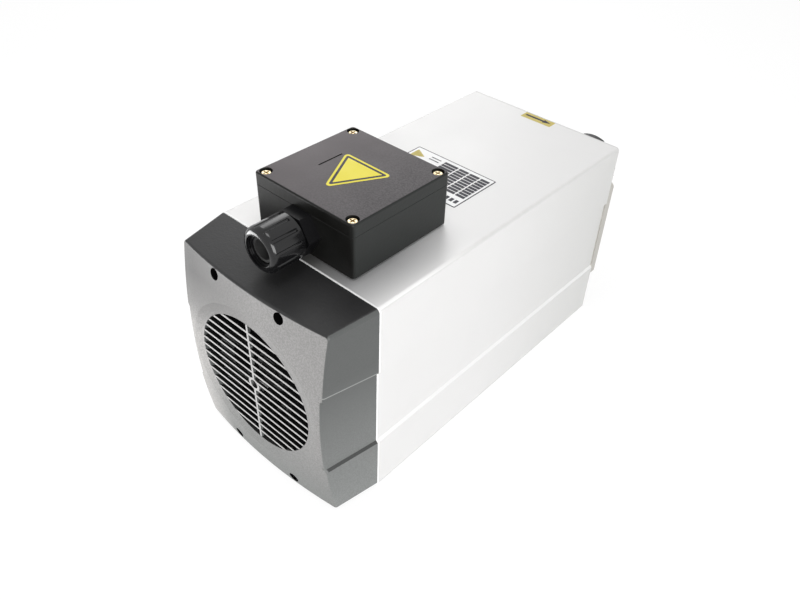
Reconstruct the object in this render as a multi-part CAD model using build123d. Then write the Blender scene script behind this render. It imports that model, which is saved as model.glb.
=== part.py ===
from build123d import *
from math import cos, pi, radians, sin, sqrt, tan
import os

# A square air-cooled motor spindle with a collet nose. Millimetres, +Y towards the nose, +Z up.
# Everything is drawn with y = 0 at the housing's rear end and z = 0 on its base, and moved at
# the end so that the origin is the centre of the base's four tapped holes.

# --- housing extrusion ---
HOUSING_WIDTH = 127.5
HOUSING_HEIGHT = 143.0
HOUSING_LENGTH = 240.0
AXIS_Z = HOUSING_HEIGHT / 2
TOP_CORNER_R = 2.5
BOTTOM_CORNER_R = 1.0
END_CHAMFER = 0.7
BAND_LOW = 39.8
BAND_HIGH = 98.1
BAND_DEPTH = 1.5
STATOR_BORE_R = 52.0
TUBE_WALL = 6.5
SIDE_WALL = 5.0
TOP_WALL = 5.0
FLOOR_WALL = 12.5
RIB_HALF_WIDTH = 33.0
FIN_THICKNESS = 2.0
FIN_ANGLES = (34.0, 52.0)
BASE_HOLE_SPACING_X = 90.0
BASE_HOLE_SPACING_Y = 150.0
BASE_HOLE_R = 3.4
BASE_HOLE_DEPTH = 10.5
WIRE_HOLE_R = 9.0

# --- fits ---
FIT = 0.05
SCREW_CLEARANCE = 0.3
SLIP = 0.3

# --- front flange, bearing housing and cap ---
FLANGE_THICKNESS = 6.5
FLANGE_SIDE_STEP = 0.5
FLANGE_HEIGHT = 125.0
FLANGE_CORNER_CUT = 24.0
FLANGE_CORNER_R = 3.0
FLANGE_SCREW_X = 26.0
FLANGE_SCREW_INSET = 7.0
FLANGE_SCREW_Z = FLANGE_HEIGHT / 2 - FLANGE_SCREW_INSET
SPIGOT_LENGTH = 6.0
SPIGOT_WALL = 7.0
NOSE_BOSS_R = 40.0
NOSE_BOSS_LENGTH = 21.5
SLEEVE_DEPTH = 18.0
SLEEVE_LIP = 2.0
SLEEVE_LIP_R = 27.0
CAP_R = 39.5
CAP_THICKNESS = 7.0
CAP_SCREW_PITCH_R = 35.3
CAP_SCREW_COUNT = 6

# --- bearings ---
FRONT_BEARING_OUTER_R = 31.0
FRONT_BEARING_BORE_R = 17.5
FRONT_BEARING_WIDTH = 14.0
FRONT_BEARING_SPACER = 4.0
FRONT_BALL_R = 4.4
FRONT_BALL_COUNT = 12
REAR_BEARING_OUTER_R = 23.5
REAR_BEARING_BORE_R = 12.5
REAR_BEARING_WIDTH = 12.0
REAR_BALL_R = 3.6
REAR_BALL_COUNT = 9
RING_SHARE = 0.27
BALL_PLAY = 0.05
CAGE_THICKNESS = 1.2
CAGE_HALF_BREADTH = 1.6

# --- rear end shield ---
SHIELD_FLANGE_R = 58.0
SHIELD_FLANGE_THICKNESS = 4.0
SHIELD_DISC_DEPTH = 6.0
SHIELD_HUB_WALL = 6.0
SHIELD_HOLE_R = 14.0
SHIELD_SCREW_PITCH_R = 55.2
SHIELD_SCREW_ANGLE = 70.0
SPRING_THICKNESS = 2.0
SPRING_INNER_R = 18.0

# --- stator and rotor ---
STACK_START = 60.0
STACK_LENGTH = 110.0
STATOR_INNER_R = 32.0
AIR_GAP = 0.5
SLOT_COUNT = 24
SLOT_INNER_R = 35.0
SLOT_OUTER_R = 47.0
SLOT_WIDTH = 5.0
SLOT_MOUTH = 2.0
COIL_GAP = 0.3
COIL_OVERHANG = 20.0
COIL_INNER_R = 34.0
COIL_OUTER_R = 49.5
COIL_ROUNDING = 5.0
CAGE_RING_R = 30.5
CAGE_RING_WIDTH = 8.0

# --- shaft ---
ROTOR_SEAT_R = 20.0
ROTOR_SEAT_START = 40.0
ROTOR_SEAT_END = 185.0
SHAFT_NECK_R = 19.0
REAR_SHOULDER_R = 16.0
FAN_SEAT_R = 8.0
FAN_SEAT_SHOULDER_R = 10.0
SHAFT_COLLAR_R = 24.0
NOSE_R = 23.0
THREAD_R = 20.0
THREAD_LENGTH = 13.3
THREAD_RELIEF = 1.0
FLATS_HALF_WIDTH = 19.0
FLATS_LENGTH = 12.0
LOCKNUT_R = 25.0
LOCKNUT_THICKNESS = 8.0
LOCKNUT_SLOT = 5.0
SLINGER_R = 33.0
SLINGER_THICKNESS = 5.0
SLINGER_GAP = 1.5
CIRCLIP_THICKNESS = 1.2
CIRCLIP_OUTER_R = 15.0

# --- collet and clamping nut ---
NUT_FRONT = 90.7
NUT_R = 25.0
NUT_LENGTH = 22.5
NUT_CHAMFER = 1.5
NUT_SLOT_COUNT = 6
NUT_SLOT_WIDTH = 6.0
NUT_SLOT_DEPTH = 3.0
NUT_SLOT_LENGTH = 15.0
NUT_MOUTH_R = 14.6
COLLET_LENGTH = 40.0
COLLET_BIG_R = 16.5
COLLET_TAPER_LENGTH = 33.0
COLLET_TAPER_ANGLE = 8.0
COLLET_FACE_ANGLE = 30.0
COLLET_GROOVE_WIDTH = 2.4
COLLET_GROOVE_DEPTH = 1.6
COLLET_BORE_R = 6.0
COLLET_FACE_SETBACK = 1.2
COLLET_SLOT_WIDTH = 0.9
COLLET_SLOT_PAIRS = 4
COLLET_SLOT_BRIDGE = 6.0
RING_CLEARANCE = 0.08
SHANK_BORE_R = 8.0
SHANK_BORE_DEPTH = 25.0

# --- cooling fan ---
FAN_R = 50.0
FAN_BACK_THICKNESS = 2.0
FAN_BACK_GAP = 2.0
FAN_HUB_R = 13.0
FAN_BLADE_COUNT = 9
FAN_BLADE_THICKNESS = 2.0
FAN_BLADE_HEIGHT = 15.0
FAN_BLADE_START_R = 18.0
FAN_BLADE_LEAN = 20.0
FAN_WASHER_R = 11.0
FAN_WASHER_THICKNESS = 1.2

# --- fan cover ---
COVER_DEPTH = 30.3
COVER_DOME_R = 388.0
COVER_SIDE_DRAFT = 9.2
COVER_TOP_DRAFT = 4.0
COVER_LOW_DRAFT = 1.2
COVER_WALL = 3.0
COVER_EDGE_R = 1.7
COVER_LOW_CORNER_R = 2.6
GRILLE_FACE_DEPTH = 36.6
GRILLE_R = 45.8
GRILLE_LAND = 2.2
GRILLE_FLANK = 5.0
GRILLE_BAR_COUNT = 14
GRILLE_PITCH = 6.12
GRILLE_BAR_HEIGHT = 1.5
GRILLE_BAR_DEPTH = 1.7
GRILLE_BLADE_DEPTH = 5.5
GRILLE_BLADE_DROP = 3.0
GRILLE_OPEN_R = 33.4
GRILLE_MULLION = 1.5
GRILLE_HUB_R = 4.6
GRILLE_HUB_HOLE_R = 2.9
GRILLE_COLLAR_WALL = 2.4
COVER_SCREW_X = 26.1
COVER_SCREW_INSET = 6.7
COVER_SCREW_Z = AXIS_Z - COVER_SCREW_INSET
COVER_SCREW_WELL_R = 3.4
COVER_POST_R = 5.4
COVER_POST_FLOOR = 6.0

# --- terminal box ---
BOX_SIDE = 76.0
BOX_CENTRE_Y = 45.0
BOX_TOP = 35.0
BOX_CORNER_R = 2.4
BOX_WALL = 3.0
BOX_FLOOR = 2.2
BOX_SEAM = 0.4
BOX_SEAL_THICKNESS = 1.2
BOX_SEAL_INSET = 2.0
BOX_SEAL_WIDTH = 5.0
BOX_FIXING_SPACING = 52.0
LID_HEIGHT = 7.6
LID_TOP_R = 1.2
LID_RECESS = 4.0
LID_SCREW_SPACING = 66.6
LID_WELL_R = 3.7
LID_WELL_DEPTH = 3.4
LID_POST_R = 4.6
LID_SEAL_EDGE = 0.6
LID_SEAL_WIDTH = 1.0
LID_SEAL_HEIGHT = 1.2
LID_GROOVE_LENGTH = 18.0
LID_GROOVE_WIDTH = 1.1
LID_GROOVE_DEPTH = 0.6
LID_GROOVE_X = -17.9
LID_GROOVE_Y = 45.3
BLOCK_LENGTH = 42.0
BLOCK_WIDTH = 24.0
BLOCK_HEIGHT = 9.0
BLOCK_CENTRE_Y = 55.0
BLOCK_RIDGE = 3.0
STUD_PITCH_X = 13.0
STUD_PITCH_Y = 12.0
STUD_R = 2.0
STUD_HEIGHT = 7.0
STUD_NUT_R = 4.0
STUD_NUT_HEIGHT = 3.2

# --- cable gland ---
GLAND_Z = 15.7
GLAND_THREAD_R = 10.0
GLAND_HEX = 24.0
GLAND_HEX_LENGTH = 8.0
GLAND_NUT_R = 13.5
GLAND_NUT_LENGTH = 21.0
GLAND_REACH = 30.7
GLAND_NUT_RIBS = 12
GLAND_NUT_RIB_R = 1.1
GLAND_MOUTH_R = 9.4
GLAND_NUT_NOSE_R = 4.0
GLAND_BORE_R = 8.4
GLAND_CABLE_R = 6.0
GLAND_SEAL_LENGTH = 13.0
GLAND_CLAW_LENGTH = 7.0
GLAND_LOCKNUT_HEX = 21.6
GLAND_LOCKNUT_R = 11.4
GLAND_LOCKNUT_THICKNESS = 5.0
GLAND_THREAD_IN = 9.0
GLAND_THREAD_OUT = 13.0

# --- screws: (thread radius, length under the head, head radius, head height) ---
FLANGE_SCREW = (3.0, 20.0, 5.0, 6.0)
CAP_SCREW = (2.0, 12.0, 3.5, 4.0)
SHIELD_SCREW = (2.0, 14.0, 3.5, 2.6)
COVER_SCREW = (2.0, 18.0, 3.1, 2.6)
LID_SCREW = (2.0, 14.0, 3.0, 2.4)
BOX_SCREW = (2.0, 10.0, 3.5, 2.6)
EARTH_SCREW = (2.0, 6.0, 3.9, 2.6)
TAP_DEPTH_SPARE = 1.0


# ---------------------------------------------------------------- helpers

def across(y):
    """The plane at y that is drawn with X to the right and Z up."""
    return Plane(origin=(0, y, 0), x_dir=(1, 0, 0), z_dir=(0, -1, 0))


def run(sketch, y0, y1):
    """A sketch of the cross-section carried from y0 to y1."""
    return extrude(across(y1) * sketch, y1 - y0)


def turned(*corners, x=0.0, z=AXIS_Z):
    """A body turned about an axis along Y, from (radius, y) corners."""
    return Pos(x, 0, z) * revolve(make_face(Polyline(*corners, close=True)), Axis.Y)


def ring(outer, inner, y0, y1, x=0.0, z=AXIS_Z):
    """A plain tube, or a plain bar where inner is 0."""
    return turned((inner, y0), (outer, y0), (outer, y1), (inner, y1), x=x, z=z)


def quad(x, z):
    """The four mirrored places of a point about the spindle axis."""
    return [(sx * x, AXIS_Z + sz * z) for sx in (-1, 1) for sz in (-1, 1)]


def polar(count, radius, start=0.0):
    """Evenly spaced (x, z) places on a circle about the spindle axis."""
    turns = [radians(start) + 2 * pi * i / count for i in range(count)]
    return [(radius * cos(a), AXIS_Z + radius * sin(a)) for a in turns]


def group(solids):
    """Separate solids kept together as one node."""
    return Compound(children=[s for item in solids for s in item.solids()])


def screw(size, socket=0.0, cross=0.0):
    """A screw along Z with its head's seat at z = 0 and its head above."""
    thread_r, length, head_r, head_height = size
    body = Pos(0, 0, -length) * Cylinder(thread_r, length, align=(Align.CENTER, Align.CENTER, Align.MIN))
    head = Cylinder(head_r, head_height, align=(Align.CENTER, Align.CENTER, Align.MIN))
    head = fillet(head.edges().group_by(Axis.Z)[-1], head_height * 0.3)
    depth = head_height * 0.5
    if socket:
        hexagon = Pos(0, 0, head_height - depth) * RegularPolygon(socket, 6)
        head -= extrude(hexagon, depth)
    if cross:
        slot = Box(head_r * 1.3, cross, depth)
        lift = Pos(0, 0, head_height - depth / 2)
        head -= lift * slot + lift * Rot(0, 0, 90) * slot
    return body + head


def screws(size, places, seat_y, facing, **recess):
    """Screws along Y at (x, z) places, their heads towards +Y (facing 1) or -Y (facing -1)."""
    turn = Rot(-90 * facing, 0, 0)
    return group([Pos(x, seat_y, z) * turn * screw(size, **recess) for x, z in places])


def holes(radius, places, y0, y1):
    """Plain round cutters along Y at (x, z) places."""
    return [ring(radius, 0, y0, y1, x=x, z=z) for x, z in places]


def ball_pitch(outer_r, bore_r):
    return (outer_r + bore_r) / 2


def front_bearing_starts():
    """The rear faces of the two front bearings."""
    first = HOUSING_LENGTH - SLEEVE_DEPTH + SLEEVE_LIP + SPRING_THICKNESS
    return first, first + FRONT_BEARING_WIDTH + FRONT_BEARING_SPACER


def rear_bearing_start():
    return SHIELD_DISC_DEPTH + SPRING_THICKNESS


# ---------------------------------------------------------------- housing

def housing_profile(inset=0.0, low_r=BOTTOM_CORNER_R, depth=0.0):
    """The outer cross-section with its recessed band, or that of the fan cover at a depth."""
    half = HOUSING_WIDTH / 2 - inset - depth * tan(radians(COVER_SIDE_DRAFT))
    low = inset + depth * tan(radians(COVER_LOW_DRAFT))
    high = HOUSING_HEIGHT - inset - depth * tan(radians(COVER_TOP_DRAFT))
    waist = half - BAND_DEPTH
    right = [
        (half, low),
        (half, BAND_LOW - inset * tan(pi / 8)),
        (waist, BAND_LOW + BAND_DEPTH - inset * tan(pi / 8)),
        (waist, BAND_HIGH - BAND_DEPTH + inset * tan(pi / 8)),
        (half, BAND_HIGH + inset * tan(pi / 8)),
        (half, high),
    ]
    left = [(-x, z) for x, z in reversed(right)]
    face = make_face(Polyline(*right, *left, close=True))
    rows = face.vertices().group_by(Axis.Y)
    face = fillet(rows[-1], max(TOP_CORNER_R - inset, 0.5))
    low_corners = face.vertices().group_by(Axis.Y)[0]
    return fillet(low_corners, max(low_r - inset, 0.5))


def duct_cells(side, up):
    """One corner air duct, split into cells by its cooling fins."""
    outer_x = HOUSING_WIDTH / 2 - BAND_DEPTH - SIDE_WALL
    rise = HOUSING_HEIGHT - TOP_WALL - AXIS_Z if up > 0 else AXIS_Z - FLOOR_WALL
    width = outer_x - RIB_HALF_WIDTH
    area = Pos(side * (RIB_HALF_WIDTH + width / 2), up * rise / 2) * Rectangle(width, rise)
    area -= Circle(STATOR_BORE_R + TUBE_WALL)
    for angle in FIN_ANGLES:
        turn = angle if side * up > 0 else -angle
        area -= Rot(0, 0, turn) * Rectangle(4 * STATOR_BORE_R, FIN_THICKNESS)
    return Pos(0, AXIS_Z) * area


def base_hole_places():
    """The four tapped holes in the base face, as (x, y)."""
    middle = HOUSING_LENGTH / 2
    return [
        (sx * BASE_HOLE_SPACING_X / 2, middle + sy * BASE_HOLE_SPACING_Y / 2)
        for sx in (-1, 1)
        for sy in (-1, 1)
    ]


def housing_extrusion():
    profile = housing_profile() - Pos(0, AXIS_Z) * Circle(STATOR_BORE_R)
    for side in (-1, 1):
        for up in (-1, 1):
            profile -= duct_cells(side, up)
    body = run(profile, 0, HOUSING_LENGTH)
    rear = body.faces().sort_by(Axis.Y)[0]
    body = chamfer(rear.outer_wire().edges(), END_CHAMFER)
    cutters = holes(
        FLANGE_SCREW[0] + FIT, quad(FLANGE_SCREW_X, FLANGE_SCREW_Z),
        HOUSING_LENGTH - FLANGE_SCREW[1], HOUSING_LENGTH,
    )
    cutters += holes(
        COVER_SCREW[0] + FIT, quad(COVER_SCREW_X, COVER_SCREW_Z),
        0, COVER_SCREW[1] - COVER_POST_FLOOR + TAP_DEPTH_SPARE,
    )
    cutters += holes(
        SHIELD_SCREW[0] + FIT, shield_screw_places(),
        0, SHIELD_SCREW[1] + SHIELD_SCREW[3] - SHIELD_FLANGE_THICKNESS + TAP_DEPTH_SPARE,
    )
    for x, y in base_hole_places():
        cutters.append(Pos(x, y, BASE_HOLE_DEPTH / 2) * Cylinder(BASE_HOLE_R, BASE_HOLE_DEPTH))
    roof = HOUSING_HEIGHT - AXIS_Z
    cutters.append(Pos(0, BOX_CENTRE_Y, HOUSING_HEIGHT - roof / 2) * Cylinder(WIRE_HOLE_R, roof))
    tap = BOX_SCREW[1] - BOX_FLOOR + TAP_DEPTH_SPARE
    for x, y in box_fixing_places():
        cutters.append(Pos(x, y, HOUSING_HEIGHT - tap / 2) * Cylinder(BOX_SCREW[0] + FIT, tap))
    return body - cutters


# ---------------------------------------------------------------- front flange and cap

def flange_outline():
    plate = Rectangle(HOUSING_WIDTH - 2 * FLANGE_SIDE_STEP, FLANGE_HEIGHT)
    plate = chamfer(plate.vertices(), FLANGE_CORNER_CUT)
    plate = fillet(plate.vertices(), FLANGE_CORNER_R)
    return Pos(0, AXIS_Z) * plate


def front_flange():
    face = HOUSING_LENGTH + FLANGE_THICKNESS
    boss_end = face + NOSE_BOSS_LENGTH
    sleeve_start = HOUSING_LENGTH - SLEEVE_DEPTH
    spigot_r = STATOR_BORE_R - FIT
    flange = run(flange_outline(), HOUSING_LENGTH, face)
    flange += ring(NOSE_BOSS_R, SLEEVE_LIP_R, sleeve_start, boss_end)
    flange += ring(spigot_r, spigot_r - SPIGOT_WALL, HOUSING_LENGTH - SPIGOT_LENGTH, HOUSING_LENGTH)
    flange -= ring(SLEEVE_LIP_R, 0, sleeve_start, boss_end)
    flange -= ring(FRONT_BEARING_OUTER_R + FIT, 0, sleeve_start + SLEEVE_LIP, boss_end)
    rim = flange.faces().filter_by(Axis.Y).sort_by(Axis.Y)[-1]
    flange = chamfer(rim.outer_wire().edges(), 1.0)
    places = quad(FLANGE_SCREW_X, FLANGE_SCREW_Z)
    head = FLANGE_SCREW[3] - 1.0
    cutters = holes(FLANGE_SCREW[0] + SCREW_CLEARANCE, places, HOUSING_LENGTH - SPIGOT_LENGTH, face)
    cutters += holes(FLANGE_SCREW[2] + SCREW_CLEARANCE, places, face - head, face)
    cutters += holes(
        CAP_SCREW[0] + FIT, cap_screw_places(),
        boss_end - CAP_SCREW[1] + CAP_THICKNESS - CAP_SCREW[3] - TAP_DEPTH_SPARE, boss_end,
    )
    return flange - cutters


def flange_screws():
    seat = HOUSING_LENGTH + FLANGE_THICKNESS - FLANGE_SCREW[3] + 1.0
    return screws(FLANGE_SCREW, quad(FLANGE_SCREW_X, FLANGE_SCREW_Z), seat, 1, socket=2.9)


def cap_screw_places():
    return polar(CAP_SCREW_COUNT, CAP_SCREW_PITCH_R, 30)


def front_cap():
    start = HOUSING_LENGTH + FLANGE_THICKNESS + NOSE_BOSS_LENGTH
    end = start + CAP_THICKNESS
    seat = front_bearing_starts()[1] + FRONT_BEARING_WIDTH
    spigot_r = FRONT_BEARING_OUTER_R - FIT
    hole_r = SHAFT_COLLAR_R + 0.5
    cap = turned(
        (SLEEVE_LIP_R, seat), (spigot_r, seat), (spigot_r, start), (CAP_R, start),
        (CAP_R, end), (hole_r, end), (hole_r, seat + 3.0), (SLEEVE_LIP_R, seat + 3.0),
    )
    front = cap.faces().filter_by(Axis.Y).sort_by(Axis.Y)[-1]
    cap = chamfer(front.outer_wire().edges(), 1.0)
    cutters = holes(CAP_SCREW[0] + SCREW_CLEARANCE, cap_screw_places(), start, end)
    cutters += holes(CAP_SCREW[2] + 0.2, cap_screw_places(), end - CAP_SCREW[3], end)
    return cap - cutters


def cap_screws():
    seat = HOUSING_LENGTH + FLANGE_THICKNESS + NOSE_BOSS_LENGTH + CAP_THICKNESS - CAP_SCREW[3]
    return screws(CAP_SCREW, cap_screw_places(), seat, 1, socket=1.9)


# ---------------------------------------------------------------- bearings

def race_rings(outer_r, bore_r, width, ball_r, start):
    """The outer and inner ring of one ball bearing, with their grooves."""
    pitch = ball_pitch(outer_r, bore_r)
    middle = start + width / 2
    land = (outer_r - bore_r) * RING_SHARE
    groove = Pos(0, 0, AXIS_Z) * revolve(
        make_face(Pos(pitch, middle) * CenterArc((0, 0), ball_r + BALL_PLAY, 0, 360)), Axis.Y
    )
    outer = ring(outer_r, outer_r - land, start, start + width) - groove
    inner = ring(bore_r + land, bore_r, start, start + width) - groove
    return outer, inner


def ball_row(outer_r, bore_r, width, ball_r, count, start):
    places = polar(count, ball_pitch(outer_r, bore_r))
    return [Pos(x, start + width / 2, z) * Sphere(ball_r) for x, z in places]


def cage_ring(outer_r, bore_r, width, ball_r, start):
    pitch = ball_pitch(outer_r, bore_r)
    side = start + width / 2 + ball_r + BALL_PLAY
    return ring(pitch + CAGE_HALF_BREADTH, pitch - CAGE_HALF_BREADTH, side, side + CAGE_THICKNESS)


def front_bearings():
    """Outer rings, inner rings, ball rows and cages of the two front bearings."""
    sizes = (FRONT_BEARING_OUTER_R, FRONT_BEARING_BORE_R, FRONT_BEARING_WIDTH, FRONT_BALL_R)
    starts = front_bearing_starts()
    pairs = [race_rings(*sizes, start) for start in starts]
    balls = [b for start in starts for b in ball_row(*sizes, FRONT_BALL_COUNT, start)]
    cages = [cage_ring(*sizes, start) for start in starts]
    return group([p[0] for p in pairs]), group([p[1] for p in pairs]), group(balls), group(cages)


def rear_bearing():
    sizes = (REAR_BEARING_OUTER_R, REAR_BEARING_BORE_R, REAR_BEARING_WIDTH, REAR_BALL_R)
    start = rear_bearing_start()
    outer, inner = race_rings(*sizes, start)
    balls = ball_row(*sizes, REAR_BALL_COUNT, start)
    return outer, inner, group(balls), cage_ring(*sizes, start)


def bearing_spacers():
    """The inner and outer spacer rings between the two front bearings."""
    start = front_bearing_starts()[0] + FRONT_BEARING_WIDTH
    end = start + FRONT_BEARING_SPACER
    land = (FRONT_BEARING_OUTER_R - FRONT_BEARING_BORE_R) * RING_SHARE - 0.5
    outer = ring(FRONT_BEARING_OUTER_R, FRONT_BEARING_OUTER_R - land, start, end)
    inner = ring(FRONT_BEARING_BORE_R + land, FRONT_BEARING_BORE_R + FIT, start, end)
    return outer, inner


def front_preload_spring():
    start = HOUSING_LENGTH - SLEEVE_DEPTH + SLEEVE_LIP
    return ring(FRONT_BEARING_OUTER_R - FIT, SLEEVE_LIP_R, start, start + SPRING_THICKNESS)


# ---------------------------------------------------------------- rear end shield

def shield_screw_places():
    angle = radians(SHIELD_SCREW_ANGLE)
    return quad(SHIELD_SCREW_PITCH_R * cos(angle), SHIELD_SCREW_PITCH_R * sin(angle))


def rear_end_shield():
    bearing_end = rear_bearing_start() + REAR_BEARING_WIDTH
    spigot_r = STATOR_BORE_R - FIT
    hub_r = REAR_BEARING_OUTER_R + SHIELD_HUB_WALL
    shield = turned(
        (SHIELD_HOLE_R, -SHIELD_FLANGE_THICKNESS), (SHIELD_FLANGE_R, -SHIELD_FLANGE_THICKNESS),
        (SHIELD_FLANGE_R, 0), (spigot_r, 0), (spigot_r, SHIELD_DISC_DEPTH),
        (hub_r, SHIELD_DISC_DEPTH), (hub_r, bearing_end + 1.0),
        (REAR_BEARING_OUTER_R + FIT, bearing_end + 1.0),
        (REAR_BEARING_OUTER_R + FIT, SHIELD_DISC_DEPTH), (SHIELD_HOLE_R, SHIELD_DISC_DEPTH),
    )
    cutters = holes(
        SHIELD_SCREW[0] + SCREW_CLEARANCE, shield_screw_places(), -SHIELD_FLANGE_THICKNESS, SHIELD_DISC_DEPTH
    )
    cutters += holes(
        SHIELD_SCREW[2] + SCREW_CLEARANCE, shield_screw_places(),
        -SHIELD_FLANGE_THICKNESS, -SHIELD_FLANGE_THICKNESS + SHIELD_SCREW[3],
    )
    return shield - cutters


def shield_screws():
    seat = SHIELD_SCREW[3] - SHIELD_FLANGE_THICKNESS
    return screws(SHIELD_SCREW, shield_screw_places(), seat, -1, cross=0.9)


def rear_preload_spring():
    outer_r = REAR_BEARING_OUTER_R - FIT
    return ring(outer_r, SPRING_INNER_R, SHIELD_DISC_DEPTH, rear_bearing_start())


# ---------------------------------------------------------------- stator and rotor

def stator_core():
    slot = Pos((SLOT_INNER_R + SLOT_OUTER_R) / 2, 0) * Rectangle(SLOT_OUTER_R - SLOT_INNER_R, SLOT_WIDTH)
    mouth_length = SLOT_INNER_R - STATOR_INNER_R + 2.0
    slot += Pos(SLOT_INNER_R - mouth_length / 2 + 0.5, 0) * Rectangle(mouth_length, SLOT_MOUTH)
    lamination = Circle(STATOR_BORE_R - FIT) - Circle(STATOR_INNER_R)
    lamination -= [Rot(0, 0, 360 * i / SLOT_COUNT) * slot for i in range(SLOT_COUNT)]
    return run(Pos(0, AXIS_Z) * lamination, STACK_START, STACK_START + STACK_LENGTH)


def stator_winding():
    """The coil sides in the slots, joined by the two end windings."""
    end = STACK_START + STACK_LENGTH
    middle_r = (SLOT_INNER_R + SLOT_OUTER_R) / 2
    side = Pos(middle_r, 0) * Rectangle(
        SLOT_OUTER_R - SLOT_INNER_R - 2 * COIL_GAP, SLOT_WIDTH - 2 * COIL_GAP
    )
    sides = [Pos(0, AXIS_Z) * Rot(0, 0, 360 * i / SLOT_COUNT) * side for i in range(SLOT_COUNT)]
    winding = [run(s, STACK_START - COIL_GAP - 1, end + COIL_GAP + 1) for s in sides]
    for start, stop in ((STACK_START - COIL_OVERHANG, STACK_START - COIL_GAP),
                        (end + COIL_GAP, end + COIL_OVERHANG)):
        bundle = ring(COIL_OUTER_R, COIL_INNER_R, start, stop)
        winding.append(fillet(bundle.edges(), COIL_ROUNDING))
    return winding[0].fuse(*winding[1:])


def rotor_core():
    return ring(
        STATOR_INNER_R - AIR_GAP, ROTOR_SEAT_R + FIT, STACK_START, STACK_START + STACK_LENGTH
    )


def rotor_end_rings():
    end = STACK_START + STACK_LENGTH
    inner_r = ROTOR_SEAT_R + FIT
    return group([
        ring(CAGE_RING_R, inner_r, STACK_START - CAGE_RING_WIDTH, STACK_START),
        ring(CAGE_RING_R, inner_r, end, end + CAGE_RING_WIDTH),
    ])


# ---------------------------------------------------------------- shaft and what turns with it

def nut_front_y():
    return HOUSING_LENGTH + NUT_FRONT


def nose_face_y():
    """The front face of the shaft, where the collet socket opens."""
    return nut_front_y() - NUT_LENGTH + THREAD_LENGTH


def collet_front_y():
    return nut_front_y() - COLLET_FACE_SETBACK


def collet_rear_y():
    return collet_front_y() - COLLET_LENGTH


def collet_small_r():
    return COLLET_BIG_R - COLLET_TAPER_LENGTH * tan(radians(COLLET_TAPER_ANGLE))


def spindle_shaft():
    fan_end = -(SHIELD_FLANGE_THICKNESS + FAN_BACK_GAP + FAN_BACK_THICKNESS + FAN_BLADE_HEIGHT + 2.0)
    rear_start = rear_bearing_start()
    rear_end = rear_start + REAR_BEARING_WIDTH
    front_start, second_start = front_bearing_starts()
    collar_start = second_start + FRONT_BEARING_WIDTH
    cap_end = HOUSING_LENGTH + FLANGE_THICKNESS + NOSE_BOSS_LENGTH + CAP_THICKNESS
    seat_r = FRONT_BEARING_BORE_R - FIT / 2
    rear_seat_r = REAR_BEARING_BORE_R - FIT / 2
    nose_end = nut_front_y() - NUT_LENGTH - THREAD_RELIEF
    face = nose_face_y()
    shaft = turned(
        (0, fan_end), (FAN_SEAT_R, fan_end), (FAN_SEAT_R, -SHIELD_FLANGE_THICKNESS),
        (FAN_SEAT_SHOULDER_R, -SHIELD_FLANGE_THICKNESS), (FAN_SEAT_SHOULDER_R, rear_start - SPRING_THICKNESS),
        (rear_seat_r, rear_start - SPRING_THICKNESS), (rear_seat_r, rear_end), (REAR_SHOULDER_R, rear_end),
        (REAR_SHOULDER_R, ROTOR_SEAT_START), (ROTOR_SEAT_R, ROTOR_SEAT_START),
        (ROTOR_SEAT_R, ROTOR_SEAT_END), (SHAFT_NECK_R, ROTOR_SEAT_END),
        (SHAFT_NECK_R, front_start - LOCKNUT_THICKNESS - 2.0), (seat_r, front_start - LOCKNUT_THICKNESS - 2.0),
        (seat_r, collar_start), (SHAFT_COLLAR_R, collar_start), (SHAFT_COLLAR_R, cap_end),
        (NOSE_R, cap_end), (NOSE_R, nose_end), (THREAD_R, nose_end), (THREAD_R, face), (0, face),
    )
    rear_y = collet_rear_y()
    mouth_r = collet_small_r() + (face - rear_y) * tan(radians(COLLET_TAPER_ANGLE)) + FIT
    socket = turned(
        (0, face), (mouth_r, face), (collet_small_r() + FIT, rear_y),
        (collet_small_r() + FIT, rear_y - 2.0), (SHANK_BORE_R, rear_y - 2.0),
        (SHANK_BORE_R, rear_y - 2.0 - SHANK_BORE_DEPTH), (0, rear_y - 2.0 - SHANK_BORE_DEPTH),
    )
    flats_y = (cap_end + SLINGER_GAP + SLINGER_THICKNESS + nose_end) / 2
    flat = Box(NOSE_R, FLATS_LENGTH, 2 * NOSE_R)
    reach = FLATS_HALF_WIDTH + NOSE_R / 2
    return shaft - socket - [Pos(s * reach, flats_y, AXIS_Z) * flat for s in (-1, 1)]


def bearing_locknut():
    end = front_bearing_starts()[0]
    nut = ring(LOCKNUT_R, FRONT_BEARING_BORE_R, end - LOCKNUT_THICKNESS, end)
    notch = Box(LOCKNUT_SLOT, LOCKNUT_THICKNESS, LOCKNUT_SLOT)
    places = polar(4, LOCKNUT_R)
    turns = (0, 90, 180, 270)
    middle = end - LOCKNUT_THICKNESS / 2
    return nut - [Pos(x, middle, z) * Rot(0, -t, 0) * notch for (x, z), t in zip(places, turns)]


def slinger_ring():
    """The labyrinth ring that throws dust and coolant off the nose."""
    start = HOUSING_LENGTH + FLANGE_THICKNESS + NOSE_BOSS_LENGTH + CAP_THICKNESS + SLINGER_GAP
    end = start + SLINGER_THICKNESS
    bore_r = NOSE_R + FIT / 2
    return turned(
        (bore_r, start), (SLINGER_R - 2.0, start), (SLINGER_R, start + 2.0),
        (SLINGER_R, end - 1.0), (SLINGER_R - 4.0, end), (bore_r, end),
    )


def rear_circlip():
    start = rear_bearing_start() - CIRCLIP_THICKNESS
    clip = ring(CIRCLIP_OUTER_R, REAR_BEARING_BORE_R, start, rear_bearing_start())
    gap = Pos(0, start + CIRCLIP_THICKNESS / 2, AXIS_Z - CIRCLIP_OUTER_R)
    return clip - gap * Box(5.0, CIRCLIP_THICKNESS, CIRCLIP_OUTER_R)


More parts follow.
